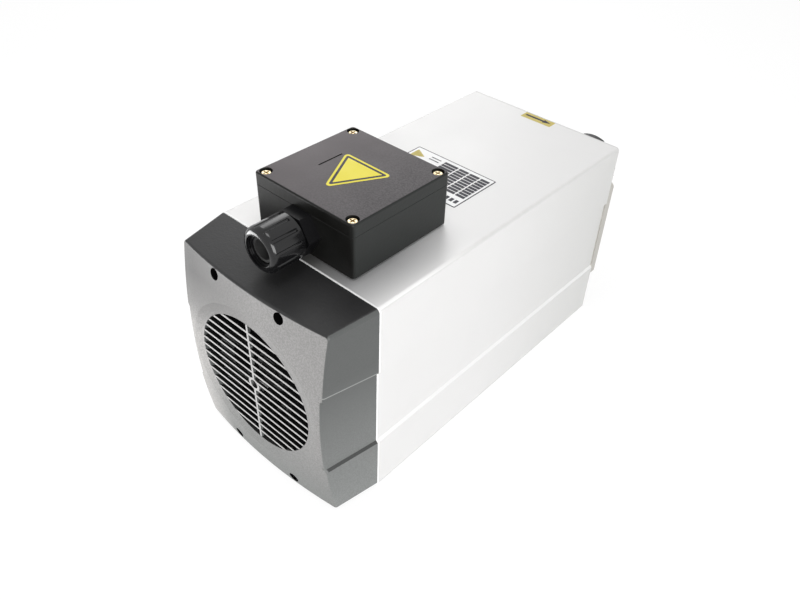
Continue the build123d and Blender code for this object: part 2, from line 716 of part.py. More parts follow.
def cooling_fan():
    back = -(SHIELD_FLANGE_THICKNESS + FAN_BACK_GAP)
    disc = back - FAN_BACK_THICKNESS
    tip = disc - FAN_BLADE_HEIGHT
    fan = ring(FAN_R, FAN_SEAT_R + FIT / 2, disc, back)
    fan += ring(FAN_HUB_R, FAN_SEAT_R + FIT / 2, tip, back)
    span = FAN_R - FAN_BLADE_START_R
    shallow = FAN_BLADE_HEIGHT * 0.6
    side = make_face(Polyline(
        (FAN_BLADE_START_R, 0), (FAN_R, 0), (FAN_R, -shallow), (FAN_R - span / 3, -FAN_BLADE_HEIGHT),
        (FAN_BLADE_START_R, -FAN_BLADE_HEIGHT), close=True,
    ))
    blade = extrude(side, FAN_BLADE_THICKNESS / 2, both=True)
    pivot = Pos(FAN_R, 0, 0) * Rot(0, FAN_BLADE_LEAN, 0) * Pos(-FAN_R, 0, 0)
    blades = [
        Pos(0, disc, AXIS_Z) * Rot(0, 360 * i / FAN_BLADE_COUNT, 0) * pivot * blade
        for i in range(FAN_BLADE_COUNT)
    ]
    fan = fan.fuse(*blades)
    return fan & ring(FAN_R, 0, tip, back)


def fan_washer():
    tip = -(SHIELD_FLANGE_THICKNESS + FAN_BACK_GAP + FAN_BACK_THICKNESS + FAN_BLADE_HEIGHT)
    clip = ring(FAN_WASHER_R, FAN_SEAT_R, tip - FAN_WASHER_THICKNESS, tip)
    gap = Pos(0, tip - FAN_WASHER_THICKNESS / 2, AXIS_Z - FAN_WASHER_R)
    return clip - gap * Box(4.0, FAN_WASHER_THICKNESS, FAN_WASHER_R)


# ---------------------------------------------------------------- collet and nut

def collet():
    """The slotted spring collet: cuts from both ends take turns round it."""
    rear = collet_rear_y()
    front = collet_front_y()
    small_r = collet_small_r()
    big_y = rear + COLLET_TAPER_LENGTH
    groove_r = COLLET_BIG_R - COLLET_GROOVE_DEPTH
    face_start = big_y + COLLET_GROOVE_WIDTH
    face_r = COLLET_BIG_R - (front - face_start) * tan(radians(COLLET_FACE_ANGLE))
    body = turned(
        (COLLET_BORE_R, rear), (small_r, rear), (COLLET_BIG_R, big_y), (groove_r, big_y),
        (groove_r, face_start), (COLLET_BIG_R - 0.2, face_start), (face_r, front), (COLLET_BORE_R, front),
    )
    length = COLLET_LENGTH - COLLET_SLOT_BRIDGE
    cut = Box(2 * NUT_R, length, COLLET_SLOT_WIDTH)
    step = 180 / (2 * COLLET_SLOT_PAIRS)
    cuts = []
    for i in range(COLLET_SLOT_PAIRS):
        from_front = Pos(0, front - length / 2, AXIS_Z) * Rot(0, 2 * i * step, 0)
        from_rear = Pos(0, rear + length / 2, AXIS_Z) * Rot(0, (2 * i + 1) * step, 0)
        cuts += [from_front * cut, from_rear * cut]
    return body - cuts


def collet_nut():
    front = nut_front_y()
    rear = front - NUT_LENGTH
    thread_r = THREAD_R + RING_CLEARANCE
    lip = nose_face_y() + 1.0
    seat_r = ring_outer_r() + RING_CLEARANCE
    nut = turned(
        (thread_r, rear), (NUT_R - NUT_CHAMFER, rear), (NUT_R, rear + NUT_CHAMFER),
        (NUT_R, front - NUT_CHAMFER), (NUT_R - NUT_CHAMFER, front), (seat_r, front),
        (seat_r, lip), (thread_r, lip),
    )
    slot = Box(2 * NUT_SLOT_DEPTH, NUT_SLOT_LENGTH, NUT_SLOT_WIDTH)
    middle = front - NUT_SLOT_LENGTH / 2
    step = 360 / NUT_SLOT_COUNT
    cuts = [
        Pos(0, middle, AXIS_Z) * Rot(0, i * step, 0) * Pos(NUT_R, 0, 0) * slot
        for i in range(NUT_SLOT_COUNT)
    ]
    return nut - cuts


def ring_outer_r():
    return THREAD_R - 1.0


def nut_pull_ring():
    """The ring inside the nut whose cone presses the collet home."""
    front = nut_front_y()
    start = collet_rear_y() + COLLET_TAPER_LENGTH + COLLET_GROOVE_WIDTH + 0.3
    slope = tan(radians(COLLET_FACE_ANGLE))
    wide_r = COLLET_BIG_R + 0.1
    mouth_r = wide_r - (front - start) * slope
    return turned((wide_r, start), (ring_outer_r(), start), (ring_outer_r(), front), (mouth_r, front))


# ---------------------------------------------------------------- fan cover

def grille_face_y():
    return -GRILLE_FACE_DEPTH


def corner_reach():
    """How far the cover's rear corners are from the spindle axis."""
    half = HOUSING_WIDTH / 2 - COVER_DEPTH * tan(radians(COVER_SIDE_DRAFT))
    rise = HOUSING_HEIGHT - AXIS_Z - COVER_DEPTH * tan(radians(COVER_TOP_DRAFT))
    return sqrt(half ** 2 + rise ** 2)


def dome_centre_y():
    """The centre of the sphere that the cover's rear face lies on."""
    return sqrt(COVER_DOME_R ** 2 - corner_reach() ** 2) - COVER_DEPTH


def dome_y(radius):
    """The rear face at a distance from the spindle axis."""
    return dome_centre_y() - sqrt(COVER_DOME_R ** 2 - radius ** 2)


def dome_ball(offset=0.0):
    """The ball whose skin is the cover's rear face, its seam turned away from the face."""
    return Pos(0, dome_centre_y() + offset, AXIS_Z) * Rot(0, 0, 90) * Sphere(COVER_DOME_R)


def domed_block(inset, **corner):
    """The cover's outer form, or the hollow inside it where inset is its wall."""
    depth = -dome_y(0)
    base = across(0) * housing_profile(inset, **corner)
    end = across(-depth) * housing_profile(inset, depth=depth, **corner)
    return loft([base, end], ruled=True) & dome_ball(inset)


def dish_r():
    return GRILLE_R + GRILLE_LAND


def dish_edge():
    """Where the shallow dish round the grille runs out into the dome, as (radius, y)."""
    radius = dish_r() + GRILLE_FLANK
    return radius, dome_y(radius)


def grille_land():
    """The wall behind the dish that the grille is cut in."""
    face = grille_face_y()
    edge_r, edge_y = dish_edge()
    back = face + COVER_WALL
    return turned((0, face), (dish_r(), face), (edge_r, edge_y), (edge_r, back), (0, back))


def grille_dish():
    """What the dish takes out of the dome."""
    face = grille_face_y()
    edge_r, edge_y = dish_edge()
    far = dome_y(0) - 1.0
    return turned((0, face), (dish_r(), face), (edge_r, edge_y), (edge_r, far), (0, far))


def louvre_blade(z):
    """A bar of the grille with its sloping blade behind, as long as the grille is wide."""
    face = grille_face_y()
    half = GRILLE_BAR_HEIGHT / 2
    section = make_face(Polyline(
        (face, z + half), (face + GRILLE_BLADE_DEPTH, z + half - GRILLE_BLADE_DROP),
        (face + GRILLE_BLADE_DEPTH, z - half - GRILLE_BLADE_DROP), (face + GRILLE_BAR_DEPTH, z - half),
        (face, z - half), close=True,
    ))
    side = Plane(origin=(0, 0, 0), x_dir=(0, 1, 0), z_dir=(1, 0, 0))
    return extrude(side * section, GRILLE_R + 1.0, both=True)


def grille():
    """The louvred disc: sloping blades in its outer ring, thin bars across its middle."""
    face = grille_face_y()
    inner = face + GRILLE_BLADE_DEPTH
    first = AXIS_Z - GRILLE_PITCH * (GRILLE_BAR_COUNT - 1) / 2
    blades = [louvre_blade(first + i * GRILLE_PITCH) for i in range(GRILLE_BAR_COUNT)]
    disc = ring(GRILLE_R + 0.5, 0, face, inner)
    middle = ring(GRILLE_OPEN_R, 0, face + GRILLE_BAR_DEPTH, inner)
    bars = [(blade & disc) - middle for blade in blades]
    mullion = Pos(0, face + GRILLE_BAR_DEPTH / 2, AXIS_Z) * Box(
        GRILLE_MULLION, GRILLE_BAR_DEPTH, 2 * GRILLE_R + 1.0
    )
    hub = ring(GRILLE_HUB_R, 0, face, face + GRILLE_BAR_DEPTH)
    hole = ring(GRILLE_HUB_HOLE_R, 0, face, face + GRILLE_BAR_DEPTH)
    return [(bar - hole) for bar in bars] + [mullion - hole, hub - hole]


def fan_cover():
    face = grille_face_y()
    inner = face + GRILLE_BLADE_DEPTH
    floor_y = -COVER_POST_FLOOR
    places = quad(COVER_SCREW_X, COVER_SCREW_Z)
    shell = domed_block(0.0, low_r=COVER_LOW_CORNER_R)
    rim = shell.faces().filter_by(GeomType.SPHERE)[0].outer_wire().edges()
    shell = fillet(rim, COVER_EDGE_R)
    cover = shell - domed_block(COVER_WALL)
    cover += grille_land()
    posts = [post & shell for post in holes(COVER_POST_R, places, face, 0)]
    cover = cover.fuse(*posts, ring(GRILLE_R + GRILLE_COLLAR_WALL, 0, face, inner))
    cover -= [grille_dish(), ring(GRILLE_R, 0, face, inner)]
    cover -= holes(COVER_SCREW_WELL_R, places, face, floor_y)
    cover -= holes(COVER_SCREW[0] + SCREW_CLEARANCE, places, floor_y, 0)
    return cover.fuse(*grille())


def cover_screws():
    places = quad(COVER_SCREW_X, COVER_SCREW_Z)
    return screws(COVER_SCREW, places, -COVER_POST_FLOOR, -1, cross=0.9)


# ---------------------------------------------------------------- terminal box

def box_fixing_places():
    """The screws that hold the box to the housing, as (x, y)."""
    half = BOX_FIXING_SPACING / 2
    return [(sx * half, BOX_CENTRE_Y + sy * half) for sx in (-1, 1) for sy in (-1, 1)]


def lid_screw_places():
    half = LID_SCREW_SPACING / 2
    return [(sx * half, BOX_CENTRE_Y + sy * half) for sx in (-1, 1) for sy in (-1, 1)]


def box_floor_z():
    return HOUSING_HEIGHT + BOX_SEAL_THICKNESS


def lid_seat_z():
    return HOUSING_HEIGHT + BOX_TOP - LID_HEIGHT


def upright(sketch, z0, z1, x=0.0, y=BOX_CENTRE_Y):
    """A sketch in plan, carried from z0 to z1."""
    return Pos(x, y, z0) * extrude(sketch, z1 - z0)


def box_seal():
    outer = BOX_SIDE - 2 * BOX_SEAL_INSET
    plan = RectangleRounded(outer, outer, BOX_CORNER_R - BOX_SEAL_INSET / 2)
    plan -= RectangleRounded(outer - 2 * BOX_SEAL_WIDTH, outer - 2 * BOX_SEAL_WIDTH, 1.0)
    return upright(plan, HOUSING_HEIGHT, box_floor_z())


def gland_axis_z():
    return HOUSING_HEIGHT + GLAND_Z


def box_rear_y():
    return BOX_CENTRE_Y - BOX_SIDE / 2


def terminal_box_base():
    floor = box_floor_z()
    top = lid_seat_z()
    height = top - floor
    plan = RectangleRounded(BOX_SIDE, BOX_SIDE, BOX_CORNER_R)
    base = upright(plan, floor, top)
    base = chamfer(base.faces().sort_by(Axis.Z)[-1].outer_wire().edges(), BOX_SEAM)
    inside = BOX_SIDE - 2 * BOX_WALL
    cavity = upright(RectangleRounded(inside, inside, BOX_CORNER_R - 1.5), floor + BOX_FLOOR, top)
    corner = BOX_SIDE / 2 - LID_SCREW_SPACING / 2 + LID_POST_R
    for x, y in lid_screw_places():
        cavity -= Pos(x, y, floor + height / 2) * Cylinder(LID_POST_R, height)
    base -= cavity
    cutters = [
        Pos(x, y, top - LID_SCREW[1] / 2) * Cylinder(LID_SCREW[0] + FIT, LID_SCREW[1])
        for x, y in lid_screw_places()
    ]
    cutters += [
        Pos(x, y, floor + BOX_FLOOR / 2) * Cylinder(BOX_SCREW[0] + SCREW_CLEARANCE, BOX_FLOOR)
        for x, y in box_fixing_places()
    ]
    cutters.append(Pos(0, BOX_CENTRE_Y, floor + BOX_FLOOR / 2) * Cylinder(WIRE_HOLE_R, BOX_FLOOR))
    wall = box_rear_y()
    cutters.append(ring(GLAND_THREAD_R + FIT, 0, wall - 1.0, wall + BOX_WALL + 1.0, z=gland_axis_z()))
    return base - cutters


def lid_seal_plan():
    """The path of the cord seal, which follows the box's rim outside the corner posts."""
    outer = BOX_SIDE - 2 * LID_SEAL_EDGE
    inner = outer - 2 * LID_SEAL_WIDTH
    corner_r = BOX_CORNER_R - 2 * LID_SEAL_EDGE
    return RectangleRounded(outer, outer, corner_r) - RectangleRounded(inner, inner, corner_r - LID_SEAL_WIDTH)


def lid_seal():
    return upright(lid_seal_plan(), lid_seat_z(), lid_seat_z() + LID_SEAL_HEIGHT)


def terminal_box_lid():
    seat = lid_seat_z()
    top = seat + LID_HEIGHT
    lid = upright(RectangleRounded(BOX_SIDE, BOX_SIDE, BOX_CORNER_R), seat, top)
    lid = fillet(lid.faces().sort_by(Axis.Z)[-1].outer_wire().edges(), LID_TOP_R)
    inside = BOX_SIDE - 4 * BOX_WALL
    pocket = upright(RectangleRounded(inside, inside, 2.0), seat, seat + LID_RECESS)
    for x, y in lid_screw_places():
        pocket -= Pos(x, y, seat + LID_RECESS / 2) * Cylinder(LID_POST_R + 1.0, LID_RECESS)
    lid -= pocket
    cutters = [upright(lid_seal_plan(), seat, seat + LID_SEAL_HEIGHT)]
    for x, y in lid_screw_places():
        cutters.append(Pos(x, y, top - LID_WELL_DEPTH / 2) * Cylinder(LID_WELL_R, LID_WELL_DEPTH))
        cutters.append(Pos(x, y, seat + LID_HEIGHT / 2) * Cylinder(LID_SCREW[0] + SCREW_CLEARANCE, LID_HEIGHT))
    groove = Box(LID_GROOVE_WIDTH, LID_GROOVE_LENGTH, LID_GROOVE_DEPTH)
    cutters.append(Pos(LID_GROOVE_X, LID_GROOVE_Y, top - LID_GROOVE_DEPTH / 2) * groove)
    return lid - cutters


def lid_screws():
    seat = lid_seat_z() + LID_HEIGHT - LID_WELL_DEPTH
    return group([Pos(x, y, seat) * screw(LID_SCREW, cross=1.0) for x, y in lid_screw_places()])


def box_screws():
    seat = box_floor_z() + BOX_FLOOR
    return group([Pos(x, y, seat) * screw(BOX_SCREW, cross=0.9) for x, y in box_fixing_places()])


def block_floor_z():
    return box_floor_z() + BOX_FLOOR


def stud_places():
    return [
        (i * STUD_PITCH_X, BLOCK_CENTRE_Y + s * STUD_PITCH_Y / 2) for i in (-1, 0, 1) for s in (-1, 1)
    ]


def terminal_block():
    """The moulded block that carries the winding's six ends."""
    floor = block_floor_z()
    plan = RectangleRounded(BLOCK_LENGTH, BLOCK_WIDTH, 2.0)
    block = upright(plan, floor, floor + BLOCK_HEIGHT, y=BLOCK_CENTRE_Y)
    ridge = Box(1.6, BLOCK_WIDTH, BLOCK_RIDGE)
    for i in (-0.5, 0.5):
        block += Pos(i * STUD_PITCH_X, BLOCK_CENTRE_Y, floor + BLOCK_HEIGHT + BLOCK_RIDGE / 2) * ridge
    block -= [
        Pos(x, y, floor + BLOCK_HEIGHT / 2 + 2) * Cylinder(STUD_R + FIT, BLOCK_HEIGHT - 4)
        for x, y in stud_places()
    ]
    return block - Pos(0, BOX_CENTRE_Y, floor + 1.5) * Cylinder(WIRE_HOLE_R, 3.0)


def terminal_studs():
    """Brass studs with their hexagon nuts."""
    top = block_floor_z() + BLOCK_HEIGHT
    studs = []
    for x, y in stud_places():
        sunk = BLOCK_HEIGHT - 4 - 0.5
        stud = Pos(x, y, top - sunk) * extrude(Circle(STUD_R), sunk + STUD_HEIGHT)
        nut = Pos(x, y, top) * extrude(RegularPolygon(STUD_NUT_R, 6), STUD_NUT_HEIGHT)
        studs.append(stud + nut)
    return group(studs)


def earth_place():
    return BOX_SIDE / 2 - BOX_WALL - 8.0, BOX_CENTRE_Y


def earth_screw():
    x, y = earth_place()
    boss = EARTH_SCREW[1]
    return Pos(x, y, block_floor_z() + boss) * screw(EARTH_SCREW, cross=0.9)


def earth_post():
    """The brass post for the earth wire, with a clamp washer's square shoulder."""
    x, y = earth_place()
    post = Pos(x, y, block_floor_z()) * extrude(Rectangle(8.0, 8.0), EARTH_SCREW[1])
    return post - Pos(x, y, block_floor_z()) * extrude(Circle(EARTH_SCREW[0] + FIT), EARTH_SCREW[1])


# ---------------------------------------------------------------- cable gland

def gland_mouth_y():
    """The rearmost face of the gland nut."""
    return box_rear_y() - GLAND_REACH


def gland_ring(outer, inner, y0, y1):
    return ring(outer, inner, y0, y1, z=gland_axis_z())


def hexagon_bar(across_flats, y0, y1):
    plan = Pos(0, gland_axis_z()) * RegularPolygon(across_flats / sqrt(3), 6)
    return run(plan, y0, y1)


def gland_body():
    wall = box_rear_y()
    hex_rear = wall - GLAND_HEX_LENGTH
    body = hexagon_bar(GLAND_HEX, hex_rear, wall)
    body += gland_ring(GLAND_THREAD_R, 0, hex_rear - GLAND_THREAD_OUT, wall + BOX_WALL + GLAND_THREAD_IN)
    end = wall + BOX_WALL + GLAND_THREAD_IN
    return body - gland_ring(GLAND_BORE_R, 0, hex_rear - GLAND_THREAD_OUT, end)


def gland_locknut():
    start = box_rear_y() + BOX_WALL
    nut = hexagon_bar(GLAND_LOCKNUT_HEX, start, start + GLAND_LOCKNUT_THICKNESS)
    return nut & gland_ring(GLAND_LOCKNUT_R, GLAND_THREAD_R + FIT, start, start + GLAND_LOCKNUT_THICKNESS)


def claw_start():
    return gland_mouth_y() + 2.2


def gland_claw():
    """The clamping ring that the nut pushes over the seal."""
    start = claw_start()
    outer = GLAND_THREAD_R
    end = start + GLAND_CLAW_LENGTH - 1.0
    claw = gland_ring(outer, GLAND_BORE_R - 0.6, start, end)
    finger = Box(0.8, GLAND_CLAW_LENGTH, 4 * GLAND_THREAD_R)
    place = Pos(0, end, gland_axis_z())
    return claw - [place * Rot(0, 45 * i, 0) * finger for i in range(4)]


def gland_seal():
    """The rubber bush that grips the cable."""
    start = claw_start() + 1.0
    return gland_ring(GLAND_BORE_R - 0.6 - SLIP, GLAND_CABLE_R, start, start + GLAND_SEAL_LENGTH)


def gland_nut():
    """The dome nut, with ribs round it for the fingers."""
    mouth = gland_mouth_y()
    end = mouth + GLAND_NUT_LENGTH
    inner_r = GLAND_THREAD_R + RING_CLEARANCE
    nose = GLAND_NUT_NOSE_R
    profile = make_face([
        Polyline((GLAND_NUT_R - nose, mouth), (GLAND_MOUTH_R, mouth), (GLAND_MOUTH_R, mouth + 2.0),
                 (inner_r, mouth + 2.0), (inner_r, end), (GLAND_NUT_R, end), (GLAND_NUT_R, mouth + nose)),
        RadiusArc((GLAND_NUT_R, mouth + nose), (GLAND_NUT_R - nose, mouth), nose),
    ])
    nut = Pos(0, 0, gland_axis_z()) * revolve(profile, Axis.Y)
    flute = Pos(GLAND_NUT_R + GLAND_NUT_RIB_R * 0.35, 0) * Circle(GLAND_NUT_RIB_R)
    step = 360 / GLAND_NUT_RIBS
    flutes = [
        run(Pos(0, gland_axis_z()) * Rot(0, 0, (i + 0.5) * step) * flute, mouth, end - 2.0)
        for i in range(GLAND_NUT_RIBS)
    ]
    return nut - flutes


# ---------------------------------------------------------------- the set of nodes

def nodes():
    front_outer, front_inner, front_balls, front_cages = front_bearings()
    rear_outer, rear_inner, rear_balls, rear_cage = rear_bearing()
    outer_spacer, inner_spacer = bearing_spacers()
    return {
        "housing_extrusion": housing_extrusion(),
        "front_flange": front_flange(),
        "flange_screws": flange_screws(),
        "front_cap": front_cap(),
        "cap_screws": cap_screws(),
        "rear_end_shield": rear_end_shield(),
        "shield_screws": shield_screws(),
        "stator_core": stator_core(),
        "stator_winding": stator_winding(),
        "front_bearing_outer_rings": front_outer,
        "front_bearing_inner_rings": front_inner,
        "front_bearing_balls": front_balls,
        "front_bearing_cages": front_cages,
        "bearing_outer_spacer": outer_spacer,
        "bearing_inner_spacer": inner_spacer,
        "front_preload_spring": front_preload_spring(),
        "rear_bearing_outer_ring": rear_outer,
        "rear_bearing_inner_ring": rear_inner,
        "rear_bearing_balls": rear_balls,
        "rear_bearing_cage": rear_cage,
        "rear_preload_spring": rear_preload_spring(),
        "spindle_shaft": spindle_shaft(),
        "rotor_core": rotor_core(),
        "rotor_end_rings": rotor_end_rings(),
        "bearing_locknut": bearing_locknut(),
        "slinger_ring": slinger_ring(),
        "rear_circlip": rear_circlip(),
        "cooling_fan": cooling_fan(),
        "fan_retaining_ring": fan_washer(),
        "collet": collet(),
        "collet_nut": collet_nut(),
        "nut_pull_ring": nut_pull_ring(),
        "fan_cover": fan_cover(),
        "cover_screws": cover_screws(),
        "box_seal": box_seal(),
        "terminal_box_base": terminal_box_base(),
        "terminal_box_lid": terminal_box_lid(),
        "lid_seal": lid_seal(),
        "lid_screws": lid_screws(),
        "box_screws": box_screws(),
        "terminal_block": terminal_block(),
        "terminal_studs": terminal_studs(),
        "earth_post": earth_post(),
        "earth_screw": earth_screw(),
        "gland_body": gland_body(),
        "gland_locknut": gland_locknut(),
        "gland_claw": gland_claw(),
        "gland_seal": gland_seal(),
        "gland_nut": gland_nut(),
    }


os.makedirs("parts", exist_ok=True)
to_origin = Pos(0, -HOUSING_LENGTH / 2, 0)
for name, shape in nodes().items():
    placed = group([to_origin * solid for solid in shape.solids()])
    export_step(placed, f"parts/{name}.step")
    print(name, len(placed.solids()), round(sum(s.volume for s in placed.solids())))
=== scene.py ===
# %% [markdown]
# # A square motor spindle
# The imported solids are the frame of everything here: each CAD piece stays where it is and gets its own
# finish, and the few things that a machinist would stick on or paint on are made as thin pieces.
# Lengths are in metres. +Y runs along the spindle to the collet, +Z is up, and the origin is the middle of
# the base's four tapped holes.

# %% Load the solids
import math

import bmesh
import bpy
from mathutils import Matrix, Vector


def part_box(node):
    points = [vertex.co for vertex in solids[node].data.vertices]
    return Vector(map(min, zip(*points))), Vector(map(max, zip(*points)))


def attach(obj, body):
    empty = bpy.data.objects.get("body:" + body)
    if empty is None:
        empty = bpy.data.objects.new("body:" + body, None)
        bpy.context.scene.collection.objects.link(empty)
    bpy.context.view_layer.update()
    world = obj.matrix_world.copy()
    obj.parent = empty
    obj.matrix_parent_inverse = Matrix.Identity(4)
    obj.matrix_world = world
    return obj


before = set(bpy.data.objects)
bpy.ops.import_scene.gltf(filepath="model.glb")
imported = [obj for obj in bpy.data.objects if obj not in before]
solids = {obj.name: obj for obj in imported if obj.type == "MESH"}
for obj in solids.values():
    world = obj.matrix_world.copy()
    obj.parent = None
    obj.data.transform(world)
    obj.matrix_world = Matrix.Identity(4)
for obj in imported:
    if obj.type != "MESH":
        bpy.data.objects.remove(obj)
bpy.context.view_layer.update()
MM = 0.001
print("pieces loaded:", len(solids))

# %% [markdown]
# ## Where things are
# Stickers and wear masks need a few faces of the part. They are read from the solids, so they move with
# them if the part changes: the housing's rear end, its top face, the lid's top face, and the spindle axis.
# The painted tones, the screw wells and the stickers' sizes are fixed numbers, so they need another look then.

# %% Read the main faces from the solids
housing_low, housing_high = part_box("housing_extrusion")
REAR_Y = housing_low.y
TOP_Z = housing_high.z
HEIGHT = TOP_Z
LID_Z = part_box("terminal_box_lid")[1].z
AXIS_Z = HEIGHT / 2
print("housing", [round(v * 1000, 1) for v in (*housing_low, *housing_high)])

# %% [markdown]
# ## The camera
# A moderately wide lens near by, above and to the right of the fan end, shows three sides at once, and the
# long edges run together towards the nose. The camera is placed by the direction it looks from, its distance and a small slide
# across its own view. A small lens shift moves the frame sideways without turning the camera.

# %% Place the camera
AZIMUTH, ELEVATION, ROLL = 0.686657, 0.695711, 0.055832
FOCAL_PIXELS, FRAME_WIDTH, SENSOR_MM = 760.85, 800, 36
DISTANCE = 3.687979 * HEIGHT
SLIDE_RIGHT, SLIDE_UP = 0.039203 * HEIGHT, 0.152926 * HEIGHT
SHIFT_X, SHIFT_Y = -0.0222, 0.00186


def place_camera():
    back = Vector((
        math.sin(AZIMUTH) * math.cos(ELEVATION),
        -math.cos(AZIMUTH) * math.cos(ELEVATION),
        math.sin(ELEVATION),
    ))
    level = (-back).cross(Vector((0, 0, 1))).normalized()
    upright = level.cross(-back)
    right = math.cos(ROLL) * level + math.sin(ROLL) * upright
    up = math.cos(ROLL) * upright - math.sin(ROLL) * level
    target = Vector((0, REAR_Y + 0.8 * HEIGHT, HEIGHT / 2))
    place = target + back * DISTANCE - right * SLIDE_RIGHT - up * SLIDE_UP
    data = bpy.data.cameras.new("camera")
    data.sensor_width = SENSOR_MM
    data.lens = FOCAL_PIXELS / FRAME_WIDTH * SENSOR_MM
    data.shift_x, data.shift_y = SHIFT_X, SHIFT_Y
    data.clip_start, data.clip_end = 0.01, 20
    camera = bpy.data.objects.new("camera", data)
    bpy.context.scene.collection.objects.link(camera)
    camera.matrix_world = Matrix.Translation(place) @ Matrix((right, up, back)).transposed().to_4x4()
    bpy.context.scene.camera = camera
    return camera


camera = place_camera()
print("camera at", [round(v, 3) for v in camera.location], "lens", round(camera.data.lens, 2))

# %% [markdown]
# ## Building materials from nodes
# Every finish here is a Principled shader with values set on its sockets, and a few masks that change over
# the surface. Small helpers keep that short: they add a node and fill its inputs with numbers or with other
# nodes' outputs, do arithmetic on masks, and start a node group with named inputs and outputs.

# %% Helpers for nodes and groups


def fill(tree, socket, value):
    """Links another node's output to a socket, or sets a plain value on it."""
    if isinstance(value, bpy.types.NodeSocket):
        tree.links.new(value, socket)
    else:
        socket.default_value = value


def add(tree, kind, inputs=None, **settings):
    """A node with its settings made and its inputs filled."""
    node = tree.nodes.new(kind)
    for name, value in settings.items():
        setattr(node, name, value)
    for key, value in (inputs or {}).items():
        fill(tree, node.inputs[key], value)
    return node


def position(tree):
    """Where on the part a point is, in metres from the origin."""
    return add(tree, "ShaderNodeTexCoord").outputs["Object"]


def maths(tree, operation, *values):
    """The result of one Math node."""
    return add(tree, "ShaderNodeMath", dict(enumerate(values)), operation=operation).outputs[0]


def vector(tree, operation, *values):
    """The result of one Vector Math node: a number for a length or a dot product, else a vector."""
    node = add(tree, "ShaderNodeVectorMath", dict(enumerate(values)), operation=operation)
    return node.outputs["Value" if operation in ("LENGTH", "DOT_PRODUCT") else "Vector"]


def product(tree, *values):
    """All the values multiplied together, so a mask holds only where every one of them does."""
    result = values[0]
    for value in values[1:]:
        result = maths(tree, "MULTIPLY", result, value)
    return result


def start_group(name, inputs, outputs):
    """A shader node group: inputs are (name, kind, value), outputs are (name, kind)."""
    tree = bpy.data.node_groups.new(name, "ShaderNodeTree")
    for label, kind, value in inputs:
        tree.interface.new_socket(label, in_out="INPUT", socket_type=kind).default_value = value
    for label, kind in outputs:
        tree.interface.new_socket(label, in_out="OUTPUT", socket_type=kind)
    return tree, tree.nodes.new("NodeGroupInput").outputs, tree.nodes.new("NodeGroupOutput").inputs


def use(tree, group, **values):
    """A group placed in a material, its inputs filled; spaces in input names are written as _."""
    node = add(tree, "ShaderNodeGroup", node_tree=group)
    for key, value in values.items():
        fill(tree, node.inputs[key.replace("_", " ")], value)
    return node.outputs


FLOAT, VECTOR = "NodeSocketFloat", "NodeSocketVector"

# %% [markdown]
# ## Effects that several finishes share
# - **Fine grain** is the tiny unevenness of a blasted or spark-textured face. Real grain is 0.1 to 0.4 mm.
#   The fan cover and the terminal box use 2 mm, which is coarser than real, so that it shows in the main
#   view. Its size is an input in millimetres.
# - **Cloudy patches** are the slow changes of tone and gloss that handling and dust leave.
# - **Drawn lines** are the long faint streaks of an extrusion or a ground bar: noise stretched along one way.
# - **Turned rings** are a lathe's fine grooves: noise that depends only on the distance from an axis and
#   along it.
# - **Box edges** marks where two faces of a box-shaped piece meet, by how near a point is to two of the
#   box's limits. It needs no dense mesh, which a curvature mask would.
# - **Facing** says how far a surface faces one way, so a face can have its own finish.
# - **Height share**, **Along share** and **Across share** run from 0 at one place to 1 at another, along
#   one axis each.
# - **Inside radius** is 1 nearer to the spindle's axis than a radius, such as on the grille.

# %% Make the shared groups


def grain_group():
    tree, inputs, out = start_group(
        "Fine grain",
        [("Size mm", FLOAT, 0.3), ("Roughness", FLOAT, 0.5)],
        [("Height", FLOAT), ("Speck", FLOAT)],
    )
    place = position(tree)
    scale = maths(tree, "DIVIDE", 1000.0, inputs["Size mm"])
    noise = add(tree, "ShaderNodeTexNoise", {
        "Vector": place, "Scale": scale, "Detail": 2.0, "Roughness": inputs["Roughness"],
    })
    fine = add(tree, "ShaderNodeTexNoise", {
        "Vector": place, "Scale": maths(tree, "MULTIPLY", scale, 2.3), "Detail": 0.0,
    })
    speck = add(tree, "ShaderNodeMapRange", {"Value": fine.outputs[0], "From Min": 0.3, "From Max": 0.7})
    tree.links.new(noise.outputs[0], out["Height"])
    tree.links.new(speck.outputs[0], out["Speck"])
    return tree


def patches_group():
    tree, inputs, out = start_group(
        "Cloudy patches", [("Size mm", FLOAT, 60.0), ("Sharpness", FLOAT, 0.5)], [("Amount", FLOAT)]
    )
    place = position(tree)
    noise = add(tree, "ShaderNodeTexNoise", {
        "Vector": place, "Scale": maths(tree, "DIVIDE", 1000.0, inputs["Size mm"]),
        "Detail": 5.0, "Roughness": 0.55, "Distortion": 0.4,
    })
    low = maths(tree, "MULTIPLY", inputs["Sharpness"], 0.45)
    high = maths(tree, "SUBTRACT", 1.0, low)
    spread = add(tree, "ShaderNodeMapRange", {"Value": noise.outputs[0], "From Min": low, "From Max": high})
    tree.links.new(spread.outputs[0], out["Amount"])
    return tree


def lines_group():
    tree, inputs, out = start_group(
        "Drawn lines", [("Stretch", VECTOR, (1.0, 0.02, 1.0)), ("Size mm", FLOAT, 0.6)], [("Height", FLOAT)]
    )
    place = position(tree)
    stretched = vector(tree, "MULTIPLY", place, inputs["Stretch"])
    noise = add(tree, "ShaderNodeTexNoise", {
        "Vector": stretched, "Scale": maths(tree, "DIVIDE", 1000.0, inputs["Size mm"]), "Detail": 3.0,
    })
    tree.links.new(noise.outputs[0], out["Height"])
    return tree


